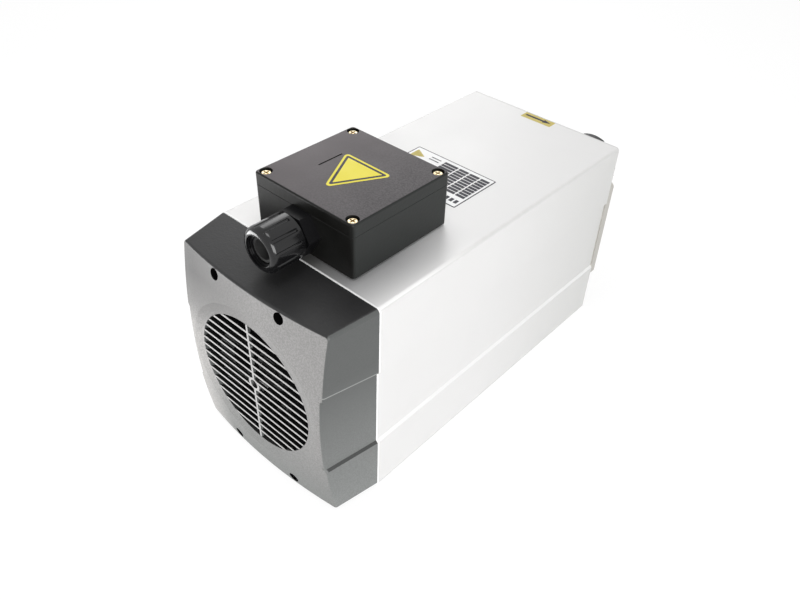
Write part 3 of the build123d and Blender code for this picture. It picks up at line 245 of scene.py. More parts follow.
def rings_group():
    tree, inputs, out = start_group(
        "Turned rings",
        [("Centre", VECTOR, (0.0, 0.0, AXIS_Z)), ("Size mm", FLOAT, 0.25)],
        [("Height", FLOAT)],
    )
    place = position(tree)
    offset = vector(tree, "SUBTRACT", place, inputs["Centre"])
    flat = vector(tree, "MULTIPLY", offset, (1.0, 0.0, 1.0))
    radius = vector(tree, "LENGTH", flat)
    along = add(tree, "ShaderNodeSeparateXYZ", {0: offset}).outputs["Y"]
    line = add(tree, "ShaderNodeCombineXYZ", {0: radius, 1: along}).outputs[0]
    noise = add(tree, "ShaderNodeTexNoise", {
        "Vector": line, "Scale": maths(tree, "DIVIDE", 1000.0, inputs["Size mm"]), "Detail": 1.0,
    })
    tree.links.new(noise.outputs[0], out["Height"])
    return tree


def edges_group():
    tree, inputs, out = start_group(
        "Box edges",
        [("Low corner", VECTOR, (0, 0, 0)), ("High corner", VECTOR, (1, 1, 1)), ("Width mm", FLOAT, 1.0),
         ("Unevenness", FLOAT, 0.5)],
        [("Mask", FLOAT)],
    )
    place = position(tree)
    from_low = vector(tree, "SUBTRACT", place, inputs["Low corner"])
    from_high = vector(tree, "SUBTRACT", inputs["High corner"], place)
    nearest = vector(tree, "MINIMUM", from_low, from_high)
    gaps = add(tree, "ShaderNodeSeparateXYZ", {0: nearest}).outputs
    least = maths(tree, "MINIMUM", maths(tree, "MINIMUM", gaps[0], gaps[1]), gaps[2])
    most = maths(tree, "MAXIMUM", maths(tree, "MAXIMUM", gaps[0], gaps[1]), gaps[2])
    total = maths(tree, "ADD", maths(tree, "ADD", gaps[0], gaps[1]), gaps[2])
    second = maths(tree, "SUBTRACT", maths(tree, "SUBTRACT", total, least), most)
    wobble = add(tree, "ShaderNodeTexNoise", {"Vector": place, "Scale": 260.0, "Detail": 3.0}).outputs[0]
    width = maths(tree, "MULTIPLY", inputs["Width mm"], 0.001)
    shift = maths(tree, "MULTIPLY", maths(tree, "SUBTRACT", wobble, 0.5), inputs["Unevenness"])
    reach = maths(tree, "MULTIPLY", width, maths(tree, "ADD", 1.0, maths(tree, "MULTIPLY", shift, 3.0)))
    mask = add(tree, "ShaderNodeMapRange", {"Value": second, "From Min": reach, "From Max": 0.0}).outputs[0]
    tree.links.new(mask, out["Mask"])
    return tree


def facing_group():
    tree, inputs, out = start_group(
        "Facing",
        [("Way", VECTOR, (0, 0, 1)), ("Start", FLOAT, 0.6), ("Full", FLOAT, 0.9)],
        [("Mask", FLOAT)],
    )
    normal = add(tree, "ShaderNodeTexCoord").outputs["Normal"]
    dot = vector(tree, "DOT_PRODUCT", normal, inputs["Way"])
    mask = add(tree, "ShaderNodeMapRange", {
        "Value": dot, "From Min": inputs["Start"], "From Max": inputs["Full"],
    }, interpolation_type="SMOOTHSTEP").outputs[0]
    tree.links.new(mask, out["Mask"])
    return tree


def share_group(name, axis):
    tree, inputs, out = start_group(
        name, [("Zero at", FLOAT, 0.0), ("One at", FLOAT, 0.1)], [("Share", FLOAT)]
    )
    place = position(tree)
    value = add(tree, "ShaderNodeSeparateXYZ", {0: place}).outputs[axis]
    share = add(tree, "ShaderNodeMapRange", {
        "Value": value, "From Min": inputs["Zero at"], "From Max": inputs["One at"],
    }).outputs[0]
    tree.links.new(share, out["Share"])
    return tree


def radius_group():
    tree, inputs, out = start_group("Inside radius", [("Radius mm", FLOAT, 45.0)], [("Mask", FLOAT)])
    place = position(tree)
    offset = vector(tree, "SUBTRACT", place, (0.0, 0.0, AXIS_Z))
    flat = vector(tree, "MULTIPLY", offset, (1.0, 0.0, 1.0))
    radius = vector(tree, "LENGTH", flat)
    inside = maths(tree, "LESS_THAN", radius, maths(tree, "MULTIPLY", inputs["Radius mm"], MM))
    tree.links.new(inside, out["Mask"])
    return tree


GRAIN, PATCHES, LINES = grain_group(), patches_group(), lines_group()
RINGS, EDGES, FACING = rings_group(), edges_group(), facing_group()
HEIGHT_SHARE, ALONG_SHARE = share_group("Height share", "Z"), share_group("Along share", "Y")
ACROSS_SHARE = share_group("Across share", "X")
INSIDE_RADIUS = radius_group()
print("groups:", [g.name for g in bpy.data.node_groups])

# %% [markdown]
# A finish starts from its plain values. The masks then change its colour, its roughness, its mirror-like
# share and its bump, each by one small helper, so a material reads as a list of what was done to it.

# %% Helpers for finishes


class Finish:
    """A material in the making: its shader, and what feeds its colour, roughness and bump so far."""

    def __init__(self, name, colour, roughness, metallic=0.0, **values):
        self.material = bpy.data.materials.new(name)
        self.material.use_nodes = True
        self.tree = self.material.node_tree
        self.shader = self.tree.nodes["Principled BSDF"]
        self.colour, self.roughness, self.normal = (*colour, 1.0), roughness, None
        self.mirror = None
        self.shader.inputs["Metallic"].default_value = metallic
        for key, value in values.items():
            self.shader.inputs[key.replace("_", " ")].default_value = value

    def tint(self, mask, colour):
        """Blends the colour towards another one where the mask is bright."""
        mix = add(self.tree, "ShaderNodeMix", data_type="RGBA")
        # Sockets 0, 6, 7 and output 2 are a Mix node's factor, two colours and result.
        for index, value in ((0, mask), (6, self.colour), (7, (*colour, 1.0))):
            fill(self.tree, mix.inputs[index], value)
        self.colour = mix.outputs[2]
        return self

    def gloss(self, mask, change):
        """Adds change to the roughness where the mask is bright."""
        self.roughness = maths(self.tree, "MULTIPLY_ADD", mask, change, self.roughness)
        return self

    def dull(self, mask, level):
        """Brings the mirror-like part of the light to a level where the mask is 1."""
        plain = self.shader.inputs["Specular IOR Level"].default_value
        self.mirror = maths(self.tree, "MULTIPLY_ADD", mask, level - plain, plain)
        return self

    def bump(self, height, depth_mm):
        """Raises the surface by depth_mm where the height is 1."""
        inputs = {"Height": height, "Distance": depth_mm * MM, "Strength": 1.0}
        if self.normal is not None:
            inputs["Normal"] = self.normal
        self.normal = add(self.tree, "ShaderNodeBump", inputs).outputs[0]
        return self

    def done(self):
        results = {
            "Base Color": self.colour, "Roughness": self.roughness,
            "Specular IOR Level": self.mirror, "Normal": self.normal,
        }
        for key, value in results.items():
            if value is not None:
                fill(self.tree, self.shader.inputs[key], value)
        return self.material


def dress(material, *names):
    """Gives a finish to CAD pieces, in the slots that they already have."""
    for name in names:
        slots = solids[name].data.materials
        for i in range(len(slots)):
            slots[i] = material


# %% [markdown]
# ## The housing: blasted, clear anodised aluminium
# The profile is sawn from an extrusion, glass-bead blasted and anodised, which gives a nearly white, satin
# metal with a fine sparkle. With a metal share of 0.72 the top mirrored the key lamp and went plain white, so
# the share is 0.3. The finish has fine grain in its bump, faint lines along the extrusion, cloudy handling
# marks, edges a little darker, and a painted highlight along the rear edge.
#
# Some tones are painted light and shade, not lit: the shade beside the terminal box and by the gland, the
# lighter strips along the top, the darker far end of the long side, the light lower and dark upper line of the
# side band, and the highlight along the rear edge. They are tuned to the main view, and they stay when the
# lamps move. For another light, take out the lines marked painted.

# %% Finish the housing
# Painted highlight: the colour of the light line along the housing's rear edge.
REAR_EDGE_GLINT = (1.0, 1.0, 1.0)


def blasted_anodised():
    finish = Finish(
        "blasted anodised aluminium", (0.765, 0.76, 0.755), 0.45, metallic=0.3, Specular_IOR_Level=0.35
    )
    tree = finish.tree
    grain = use(tree, GRAIN, Size_mm=0.35, Roughness=0.6)
    cloud = use(tree, PATCHES, Size_mm=70.0, Sharpness=0.4)["Amount"]
    lines = use(tree, LINES, Stretch=(1.0, 0.012, 1.0), Size_mm=1.1)["Height"]
    edges = use(
        tree, EDGES, Low_corner=housing_low, High_corner=housing_high, Width_mm=2.2, Unevenness=0.3
    )["Mask"]
    rear_edge_glint = use(tree, ALONG_SHARE, Zero_at=REAR_Y + 1.6 * MM, One_at=REAR_Y + 0.9 * MM)["Share"]
    finish.tint(maths(tree, "MULTIPLY", cloud, 0.35), (0.70, 0.70, 0.70))
    finish.tint(maths(tree, "MULTIPLY", edges, 0.9), (0.60, 0.60, 0.59))
    long_side = use(tree, FACING, Way=(1, 0, 0), Start=0.5, Full=0.9)["Mask"]
    far_end = use(tree, ALONG_SHARE, Zero_at=-0.02, One_at=0.12)["Share"]
    # Painted shade: the far end of the long side is darker.
    finish.tint(maths(tree, "MULTIPLY", long_side, far_end), (0.655, 0.655, 0.645))
    upward = use(tree, FACING, Way=(0, 0, 1), Start=0.5, Full=0.7)["Mask"]
    downward = use(tree, FACING, Way=(0, 0, -1), Start=0.5, Full=0.7)["Mask"]
    below = use(tree, HEIGHT_SHARE, Zero_at=0.5 * HEIGHT, One_at=0.45 * HEIGHT)["Share"]
    above = use(tree, HEIGHT_SHARE, Zero_at=0.45 * HEIGHT, One_at=0.5 * HEIGHT)["Share"]
    rim = use(tree, ACROSS_SHARE, Zero_at=0.046, One_at=0.062)["Share"]
    near_box = use(tree, ACROSS_SHARE, Zero_at=0.061, One_at=0.037)["Share"]
    beside = use(tree, ALONG_SHARE, Zero_at=-0.030, One_at=-0.085)["Share"]
    top = maths(tree, "MULTIPLY", upward, above)
    # Painted: lighter strips along both sides of the top, and the shade beside the box and by the gland.
    finish.tint(product(tree, rim, top, beside), (0.86, 0.855, 0.85))
    far_side = use(tree, ACROSS_SHARE, Zero_at=-0.026, One_at=-0.040)["Share"]
    finish.tint(product(tree, far_side, top, beside), (0.84, 0.835, 0.83))
    right_half = use(tree, ACROSS_SHARE, Zero_at=-0.020, One_at=0.0)["Share"]
    right_top = maths(tree, "MULTIPLY", right_half, top)
    shade = product(tree, near_box, beside, right_top)
    finish.tint(shade, (0.42, 0.42, 0.425))
    by_gland = use(tree, ACROSS_SHARE, Zero_at=0.042, One_at=0.006)["Share"]
    before_box = use(tree, ALONG_SHARE, Zero_at=-0.078, One_at=-0.086)["Share"]
    shade = product(tree, by_gland, before_box, right_top)
    finish.tint(shade, (0.12, 0.12, 0.115))
    # Painted highlight on the side band's lower, upward edge, and painted shade on its upper, downward edge.
    finish.tint(product(tree, upward, below, 0.35), (1.0, 1.0, 1.0))
    finish.tint(product(tree, downward, above, 0.6), (0.45, 0.45, 0.45))
    # Painted highlight: a white line along the rear edge, where the end catches light.
    finish.tint(rear_edge_glint, REAR_EDGE_GLINT)
    finish.gloss(cloud, 0.08).gloss(grain["Speck"], 0.06)
    finish.bump(grain["Height"], 0.03).bump(lines, 0.008)
    return finish.done()


dress(blasted_anodised(), "housing_extrusion")

# %% [markdown]
# ## Black moulded plastic
# The fan cover is moulded in black plastic whose tool was spark textured. Its face and sides are painted
# lighter than its top: partly the textured faces' own grey, partly painted light from the bright room and the
# table, with the sides painted lighter towards the foot. Its rounded rims are smoother and darker. The
# terminal box is the same plastic. Each gets its own colour, grain size and roughness.
#
# As on the housing, tones that follow a place and not the material are painted for the main view.

# %% Finish the fan cover and the terminal box
STEP_Z, STEP_RISE = 0.686 * HEIGHT, 0.067
WELL_X, WELL_Z, WELL_RADIUS = 26.1 * MM, 64.8 * MM, 3.5 * MM
LINE_ABOVE_STEP, LINE_HALF_WIDTH = 0.3 * MM, 0.4 * MM


def in_wells(tree, place):
    """1 inside the four screw wells, which mirror each other across the part's middle."""
    x, _, z = add(tree, "ShaderNodeSeparateXYZ", {0: place}).outputs
    across = maths(tree, "SUBTRACT", maths(tree, "ABSOLUTE", x), WELL_X)
    upright = maths(tree, "SUBTRACT", maths(tree, "ABSOLUTE", maths(tree, "SUBTRACT", z, AXIS_Z)), WELL_Z)
    spread = add(tree, "ShaderNodeCombineXYZ", {0: across, 1: upright}).outputs[0]
    distance = vector(tree, "LENGTH", spread)
    return maths(tree, "LESS_THAN", distance, WELL_RADIUS)


def cover_plastic():
    finish = Finish("textured black cover plastic", (0.012, 0.012, 0.0125), 0.36, Specular_IOR_Level=0.33)
    tree = finish.tree
    grain = use(tree, GRAIN, Size_mm=2.0, Roughness=0.7)
    cloud = use(tree, PATCHES, Size_mm=45.0, Sharpness=0.6)["Amount"]
    back = use(tree, FACING, Way=(0, -1, 0), Start=0.80, Full=0.93)["Mask"]
    side = use(tree, FACING, Way=(1, 0, 0), Start=0.25, Full=0.50)["Mask"]
    far_side = use(tree, FACING, Way=(-1, 0, 0), Start=0.25, Full=0.50)["Mask"]
    sides = maths(tree, "MAXIMUM", side, far_side)
    upward = use(tree, FACING, Way=(0, 0, 1), Start=0.5, Full=0.8)["Mask"]
    below_top = use(tree, HEIGHT_SHARE, Zero_at=0.93 * HEIGHT, One_at=0.90 * HEIGHT)["Share"]
    low = use(tree, HEIGHT_SHARE, Zero_at=0.75 * HEIGHT, One_at=0.0)["Share"]
    # Painted light in part: the sides and the face are lighter than the top, and the sides lighter towards the
    # foot, as the bright room and the table light them; the face's grey is partly its own texture.
    finish.tint(sides, (0.082, 0.087, 0.085))
    finish.tint(product(tree, sides, low), (0.225, 0.235, 0.23))
    finish.tint(back, (0.285, 0.28, 0.276))
    finish.tint(maths(tree, "MULTIPLY", cloud, 0.12), (0.10, 0.10, 0.10))
    # Painted: the face's upper left corner and foot darker, its middle left lighter, the top's left lighter.
    high = use(tree, HEIGHT_SHARE, Zero_at=0.62 * HEIGHT, One_at=0.88 * HEIGHT)["Share"]
    outer = use(tree, ACROSS_SHARE, Zero_at=0.010, One_at=-0.048)["Share"]
    corner = product(tree, high, outer, back)
    foot = use(tree, HEIGHT_SHARE, Zero_at=0.40 * HEIGHT, One_at=0.05 * HEIGHT)["Share"]
    finish.tint(maths(tree, "MULTIPLY", foot, back), (0.198, 0.204, 0.199))
    middle = use(tree, HEIGHT_SHARE, Zero_at=0.72 * HEIGHT, One_at=0.55 * HEIGHT)["Share"]
    left = use(tree, ACROSS_SHARE, Zero_at=-0.030, One_at=-0.055)["Share"]
    finish.tint(product(tree, middle, left, back), (0.42, 0.41, 0.40))
    finish.tint(corner, (0.062, 0.061, 0.060))
    crown = use(tree, ACROSS_SHARE, Zero_at=0.0, One_at=-0.045)["Share"]
    finish.tint(product(tree, crown, upward, 0.8), (0.026, 0.026, 0.027))
    light = maths(tree, "MAXIMUM", back, sides)
    speck = product(tree, light, 0.35, grain["Speck"])
    finish.tint(speck, (0.10, 0.10, 0.10))
    # Painted shade: upward ledges below the top, such as the side's lower step, are dark.
    finish.tint(maths(tree, "MULTIPLY", upward, below_top), (0.02, 0.02, 0.02))
    # Painted: the light line along the upper step of the side.
    place = position(tree)
    tilted = vector(tree, "DOT_PRODUCT", place, (0, STEP_RISE, 1))
    above = maths(tree, "SUBTRACT", tilted, STEP_Z + STEP_RISE * REAR_Y + LINE_ABOVE_STEP)
    near = maths(tree, "LESS_THAN", maths(tree, "ABSOLUTE", above), LINE_HALF_WIDTH)
    line = maths(tree, "MULTIPLY", near, sides)
    finish.tint(maths(tree, "MULTIPLY", line, 0.6), (0.34, 0.35, 0.34))
    # Painted: pale slats, and black in the depth of the grille and in the wells.
    slats = maths(tree, "MULTIPLY", use(tree, INSIDE_RADIUS, Radius_mm=45.3)["Mask"], back)
    finish.tint(slats, (0.41, 0.405, 0.40))
    deep = use(tree, ALONG_SHARE, Zero_at=REAR_Y - 29.5 * MM, One_at=REAR_Y - 28.5 * MM)["Share"]
    finish.tint(maths(tree, "MULTIPLY", deep, back), (0.010, 0.010, 0.010))
    wells = in_wells(tree, place)
    finish.tint(wells, (0.003, 0.003, 0.003)).dull(wells, 0.0)
    finish.gloss(cloud, 0.08).gloss(back, 0.12)
    finish.bump(grain["Height"], 0.08)
    return finish.done()


def box_plastic():
    finish = Finish("fine black box plastic", (0.008, 0.009, 0.0085), 0.34, Specular_IOR_Level=0.25)
    tree = finish.tree
    grain = use(tree, GRAIN, Size_mm=2.0, Roughness=0.7)
    cloud = use(tree, PATCHES, Size_mm=30.0, Sharpness=0.6)["Amount"]
    top = use(tree, FACING, Way=(0, 0, 1), Start=0.93, Full=0.99)["Mask"]
    # Painted: a lighter right face, a darker rear face and a lid that gets lighter to the left.
    right = use(tree, FACING, Way=(1, 0, 0), Start=0.5, Full=0.9)["Mask"]
    left = use(tree, FACING, Way=(0, -1, 0), Start=0.2, Full=0.9)["Mask"]
    finish.tint(right, (0.0145, 0.0165, 0.0155)).tint(left, (0.004, 0.004, 0.0035)).dull(left, 0.12)
    finish.tint(top, (0.058, 0.053, 0.056))
    far = use(tree, ACROSS_SHARE, Zero_at=0.030, One_at=-0.040)["Share"]
    finish.tint(maths(tree, "MULTIPLY", far, top), (0.132, 0.116, 0.121))
    finish.tint(product(tree, top, 0.6, grain["Speck"]), (0.115, 0.105, 0.11))
    finish.tint(maths(tree, "MULTIPLY", cloud, 0.12), (0.05, 0.05, 0.05))
    finish.gloss(cloud, 0.1).gloss(top, 0.14)
    finish.bump(grain["Height"], 0.07)
    return finish.done()


dress(cover_plastic(), "fan_cover")
dress(box_plastic(), "terminal_box_base", "terminal_box_lid")

# %% [markdown]
# ## The cable gland and the rubber pieces
# The gland's cap is glossy black nylon and its body is a satin one. The seals are soft rubber: rough, with
# almost no reflection.

# %% Finish the gland and the seals


def gland_nylon(name, roughness, mirror=0.45):
    finish = Finish(name, (0.005, 0.005, 0.0055), roughness, Specular_IOR_Level=mirror)
    tree = finish.tree
    cloud = use(tree, PATCHES, Size_mm=12.0, Sharpness=0.5)["Amount"]
    grain = use(tree, GRAIN, Size_mm=0.8, Roughness=0.5)
    finish.gloss(cloud, 0.1).bump(grain["Height"], 0.012)
    return finish.done()


def soft_rubber():
    finish = Finish("soft black rubber", (0.02, 0.02, 0.02), 0.75, Specular_IOR_Level=0.25)
    tree = finish.tree
    grain = use(tree, GRAIN, Size_mm=0.2, Roughness=0.7)
    cloud = use(tree, PATCHES, Size_mm=8.0, Sharpness=0.5)["Amount"]
    finish.tint(maths(tree, "MULTIPLY", cloud, 0.4), (0.045, 0.045, 0.043)).bump(grain["Height"], 0.02)
    return finish.done()


dress(gland_nylon("glossy black nylon", 0.10), "gland_claw", "gland_nut")
dress(gland_nylon("satin black nylon", 0.35, 0.15), "gland_body", "gland_locknut")
dress(soft_rubber(), "gland_seal", "box_seal", "lid_seal")

# %% [markdown]
# ## Steel, machined aluminium and the nose
# The nose is turned and ground steel; the nut is black oxide that has rubbed bright in patches; the flange
# is milled aluminium left bare, so it is darker and warmer than the anodised housing.

# %% Finish the metal pieces


def turned_metal(
    name, colour, roughness, ring_mm=0.3, depth_mm=0.006, stain=(0.35, 0.34, 0.33), tail=False
):
    finish = Finish(name, colour, roughness, metallic=1.0)
    tree = finish.tree
    rings = use(tree, RINGS, Centre=(0.0, 0.0, AXIS_Z), Size_mm=ring_mm)["Height"]
    cloud = use(tree, PATCHES, Size_mm=14.0, Sharpness=0.7)["Amount"]
    finish.tint(maths(tree, "MULTIPLY", cloud, 0.25), stain)
    if tail:  # Painted: the shaft's end behind the grille.
        # Painted shade: the shaft's end behind the grille is near black.
        behind = use(tree, ALONG_SHARE, Zero_at=REAR_Y + 8 * MM, One_at=REAR_Y + 7 * MM)["Share"]
        finish.tint(behind, (0.015, 0.015, 0.015)).gloss(behind, 0.3)
    finish.gloss(rings, 0.12).gloss(cloud, 0.08).bump(rings, depth_mm)
    return finish.done()


def milled_aluminium():
    finish = Finish("milled bare aluminium", (0.56, 0.545, 0.51), 0.4, metallic=0.9)
    tree = finish.tree
    lines = use(tree, LINES, Stretch=(1.0, 1.0, 0.05), Size_mm=0.5)["Height"]
    cloud = use(tree, PATCHES, Size_mm=25.0, Sharpness=0.6)["Amount"]
    finish.tint(maths(tree, "MULTIPLY", cloud, 0.4), (0.48, 0.465, 0.44))
    finish.gloss(lines, 0.15).bump(lines, 0.01)
    return finish.done()


def rubbed_black_oxide():
    finish = Finish("rubbed black oxide steel", (0.06, 0.06, 0.063), 0.34, metallic=0.85)
    tree = finish.tree
    cloud = use(tree, PATCHES, Size_mm=6.0, Sharpness=0.8)["Amount"]
    rings = use(tree, RINGS, Centre=(0.0, 0.0, AXIS_Z), Size_mm=0.4)["Height"]
    finish.tint(maths(tree, "MULTIPLY", maths(tree, "POWER", cloud, 3.0), 0.5), (0.25, 0.24, 0.23))
    finish.gloss(cloud, 0.14).bump(rings, 0.006)
    return finish.done()


def dull_black(name, roughness):
    """A thin black coat that hides in the shade: what sits behind the fan grille and in the screw wells."""
    finish = Finish(name, (0.009, 0.009, 0.009), roughness, Specular_IOR_Level=0.3)
    tree = finish.tree
    cloud = use(tree, PATCHES, Size_mm=8.0, Sharpness=0.6)["Amount"]
    grain = use(tree, GRAIN, Size_mm=0.6, Roughness=0.6)
    finish.tint(maths(tree, "MULTIPLY", cloud, 0.4), (0.03, 0.03, 0.03)).bump(grain["Height"], 0.02)
    return finish.done()


ground_steel = turned_metal("ground shaft steel", (0.62, 0.62, 0.62), 0.2, 0.22)
polished_ring = turned_metal("polished bearing steel", (0.74, 0.74, 0.75), 0.12, 0.2, 0.002)
dark_turned = turned_metal("dark turned steel", (0.34, 0.34, 0.345), 0.32, 0.35, 0.01, (0.20, 0.195, 0.19))
cast_turned = turned_metal("machined casting", (0.55, 0.55, 0.55), 0.42, 0.5, 0.012, (0.42, 0.41, 0.40))
collet_steel = turned_metal("ground collet steel", (0.66, 0.66, 0.67), 0.18, 0.15, 0.003)
dress(turned_metal("shaft steel", (0.62, 0.62, 0.62), 0.2, 0.22, tail=True), "spindle_shaft")
dress(ground_steel, "bearing_locknut", "bearing_outer_spacer", "bearing_inner_spacer")
dress(polished_ring, "front_bearing_outer_rings", "front_bearing_inner_rings", "front_bearing_balls",
      "rear_bearing_outer_ring", "rear_bearing_inner_ring", "rear_bearing_balls")
dress(dark_turned, "front_cap", "slinger_ring", "front_preload_spring", "rear_preload_spring",
      "rear_circlip")
dress(cast_turned, "rotor_end_rings")
dress(collet_steel, "collet", "nut_pull_ring")
dress(milled_aluminium(), "front_flange")
dress(rubbed_black_oxide(), "collet_nut", "flange_screws", "cap_screws")
dress(dull_black("black painted casting", 0.55), "rear_end_shield", "fan_retaining_ring")
dress(dull_black("black phosphate", 0.65), "cover_screws")

# %% [markdown]
# ## Screws, terminals and what is inside
# The lid's screws are zinc plated with a yellow chromate, which varies from straw to brown and shows in
# their wells as the only warm colour beside the sticker. The pieces inside, such as the stack of laminations
# and the varnished winding, are seen when the part is taken apart.

# %% Finish the plated, wound and moulded small pieces


def yellow_zinc():
    finish = Finish("yellow plated zinc", (0.74, 0.69, 0.50), 0.25, metallic=0.95)
    tree = finish.tree
    cloud = use(tree, PATCHES, Size_mm=3.0, Sharpness=0.6)["Amount"]
    grain = use(tree, GRAIN, Size_mm=0.4, Roughness=0.5)
    finish.tint(cloud, (0.58, 0.42, 0.22)).gloss(cloud, 0.12).bump(grain["Height"], 0.01)
    return finish.done()


def turned_brass():
    finish = Finish("turned brass", (0.75, 0.56, 0.26), 0.25, metallic=1.0)
    tree = finish.tree
    cloud = use(tree, PATCHES, Size_mm=4.0, Sharpness=0.6)["Amount"]
    finish.tint(cloud, (0.52, 0.36, 0.16)).gloss(cloud, 0.15)
    return finish.done()


def laminations():
    finish = Finish("stacked laminations", (0.20, 0.205, 0.21), 0.45, metallic=0.9)
    tree = finish.tree
    sheets = use(tree, LINES, Stretch=(0.02, 1.0, 0.02), Size_mm=0.5)["Height"]
    finish.tint(sheets, (0.34, 0.34, 0.35)).gloss(sheets, 0.15).bump(sheets, 0.05)
    return finish.done()


def varnished_copper():
    finish = Finish("varnished copper winding", (0.42, 0.15, 0.055), 0.3, metallic=0.6, Coat_Weight=0.5)
    tree = finish.tree
    wires = use(tree, RINGS, Centre=(0.0, 0.0, AXIS_Z), Size_mm=1.4)["Height"]
    cloud = use(tree, PATCHES, Size_mm=9.0, Sharpness=0.6)["Amount"]
    finish.tint(wires, (0.62, 0.27, 0.10)).gloss(cloud, 0.15).bump(wires, 0.35)
    return finish.done()


def terminal_moulding():
    finish = Finish("terminal block moulding", (0.52, 0.50, 0.44), 0.5)
    tree = finish.tree
    cloud = use(tree, PATCHES, Size_mm=10.0, Sharpness=0.5)["Amount"]
    grain = use(tree, GRAIN, Size_mm=0.3, Roughness=0.6)
    finish.tint(maths(tree, "MULTIPLY", cloud, 0.4), (0.42, 0.39, 0.33)).bump(grain["Height"], 0.02)
    return finish.done()


def fan_moulding():
    finish = Finish("moulded fan plastic", (0.006, 0.006, 0.0062), 0.6, Specular_IOR_Level=0.25)
    tree = finish.tree
    cloud = use(tree, PATCHES, Size_mm=20.0, Sharpness=0.6)["Amount"]
    grain = use(tree, GRAIN, Size_mm=0.5, Roughness=0.6)
    finish.tint(maths(tree, "MULTIPLY", cloud, 0.4), (0.02, 0.02, 0.02)).bump(grain["Height"], 0.03)
    return finish.done()


dress(yellow_zinc(), "lid_screws", "box_screws", "shield_screws", "earth_screw")
dress(turned_brass(), "terminal_studs", "earth_post", "front_bearing_cages", "rear_bearing_cage")
dress(laminations(), "stator_core", "rotor_core")
dress(varnished_copper(), "stator_winding")
dress(terminal_moulding(), "terminal_block")
dress(fan_moulding(), "cooling_fan")
bare = [name for name in solids if not solids[name].data.materials]
print("dressed", len(solids), "pieces, without a finish:", bare)

# %% [markdown]
# ## The stage and the light
# The part stands on a white table in an evenly lit white room, as for a catalogue. The world is white where
# it is looked at and where it is mirrored, and dimmer where it only lights, so the part isn't washed out. The
# table takes a soft shadow, and its own whiteness is added only where the camera or a reflection sees it.

# %% Make the table and the world
FLOOR_SIZE = 6.0
ROOM_LIGHT = 0.45


def seen_directly(tree):
    """1 where a ray comes from the camera, a mirror or a clear piece."""
    path = add(tree, "ShaderNodeLightPath").outputs
    seen = maths(tree, "MAXIMUM", path["Is Camera Ray"], path["Is Glossy Ray"])
    return maths(tree, "MAXIMUM", seen, path["Is Transmission Ray"])


def white_room():
    world = bpy.data.worlds.new("white room")
    bpy.context.scene.world = world
    world.use_nodes = True
    tree = world.node_tree
    tree.nodes.clear()
    shown = add(tree, "ShaderNodeBackground", {"Color": (1, 1, 1, 1), "Strength": 1.0})
    light = add(tree, "ShaderNodeBackground", {"Color": (1, 1, 1, 1), "Strength": ROOM_LIGHT})
    mix = add(tree, "ShaderNodeMixShader", {
        0: seen_directly(tree), 1: light.outputs[0], 2: shown.outputs[0],
    })
    add(tree, "ShaderNodeOutputWorld", {"Surface": mix.outputs[0]})


def white_table():
    mesh = bpy.data.meshes.new("table")
    s = FLOOR_SIZE / 2
    mesh.from_pydata([(-s, -s, 0), (s, -s, 0), (s, s, 0), (-s, s, 0)], [], [(0, 1, 2, 3)])
    table = bpy.data.objects.new("table", mesh)
    bpy.context.scene.collection.objects.link(table)
    table.location.z = -0.0003
    material = bpy.data.materials.new("white table")
    material.use_nodes = True
    tree = material.node_tree
    tree.nodes.clear()
    paper = add(tree, "ShaderNodeBsdfDiffuse", {"Color": (0.9, 0.9, 0.9, 1)})
    glow = add(tree, "ShaderNodeEmission", {"Color": (1, 1, 1, 1), "Strength": 1.07})
    share = maths(tree, "MULTIPLY", seen_directly(tree), 0.8)
    mix = add(tree, "ShaderNodeMixShader", {0: share, 1: paper.outputs[0], 2: glow.outputs[0]})
    add(tree, "ShaderNodeOutputMaterial", {"Surface": mix.outputs[0]})
    mesh.materials.append(material)


white_room()
white_table()

# %% [markdown]
# Four soft lamps shape the part: a key lamp behind and to the left, whose light the terminal box keeps off
# the top beside it, where a painted shade on the housing deepens it, one from the right that brightens the
# long side, a low one on the left that grazes the fan end so its dome and dish show, and a weaker one
# overhead.

# %% Hang the lamps


def soft_lamp(name, place, size, power):
    """A square area lamp that looks at the middle of the part."""
    data = bpy.data.lights.new(name, "AREA")
    data.shape, data.size, data.energy = "SQUARE", size, power
    lamp = bpy.data.objects.new(name, data)
    bpy.context.scene.collection.objects.link(lamp)
    lamp.location = place
    aim = Vector((0, 0, AXIS_Z)) - Vector(place)
    lamp.rotation_euler = aim.to_track_quat("-Z", "Y").to_euler()
    return lamp


soft_lamp("key lamp", (-0.63, 0.56, 0.68), 0.5, 1.9)
soft_lamp("right lamp", (1.0, -0.85, 0.50), 0.8, 14)
soft_lamp("fan end lamp", (-0.30, -0.33, 0.05), 0.2, 1.25)
soft_lamp("overhead lamp", (0.1, -0.1, 1.9), 0.7, 6.5)

# %% [markdown]
# ## Stickers
# A round-cornered outline, filled and raised by a fraction of a millimetre, makes any flat sticker or plate.
# Each colour is its own layer a little above the one under it, as overprinted film is.

# %% A helper for thin plates
FILM = 0.05 * MM


def rounded_outline(corners, radius, steps=6):
    """The points of a polygon whose corners are rounded by arcs."""
    points = []
    count = len(corners)
    for i in range(count):
        here = Vector(corners[i])
        back = (Vector(corners[i - 1]) - here).normalized()
        ahead = (Vector(corners[(i + 1) % count]) - here).normalized()
        half = back.angle(ahead) / 2
        centre = here + (back + ahead).normalized() * radius / math.sin(half)
        start = here + back * radius / math.tan(half) - centre
        end = here + ahead * radius / math.tan(half) - centre
        turn = start.angle_signed(end)
        for k in range(steps + 1):
            angle = turn * k / steps
            points.append(centre + start @ Matrix.Rotation(-angle, 2).transposed())
    return points


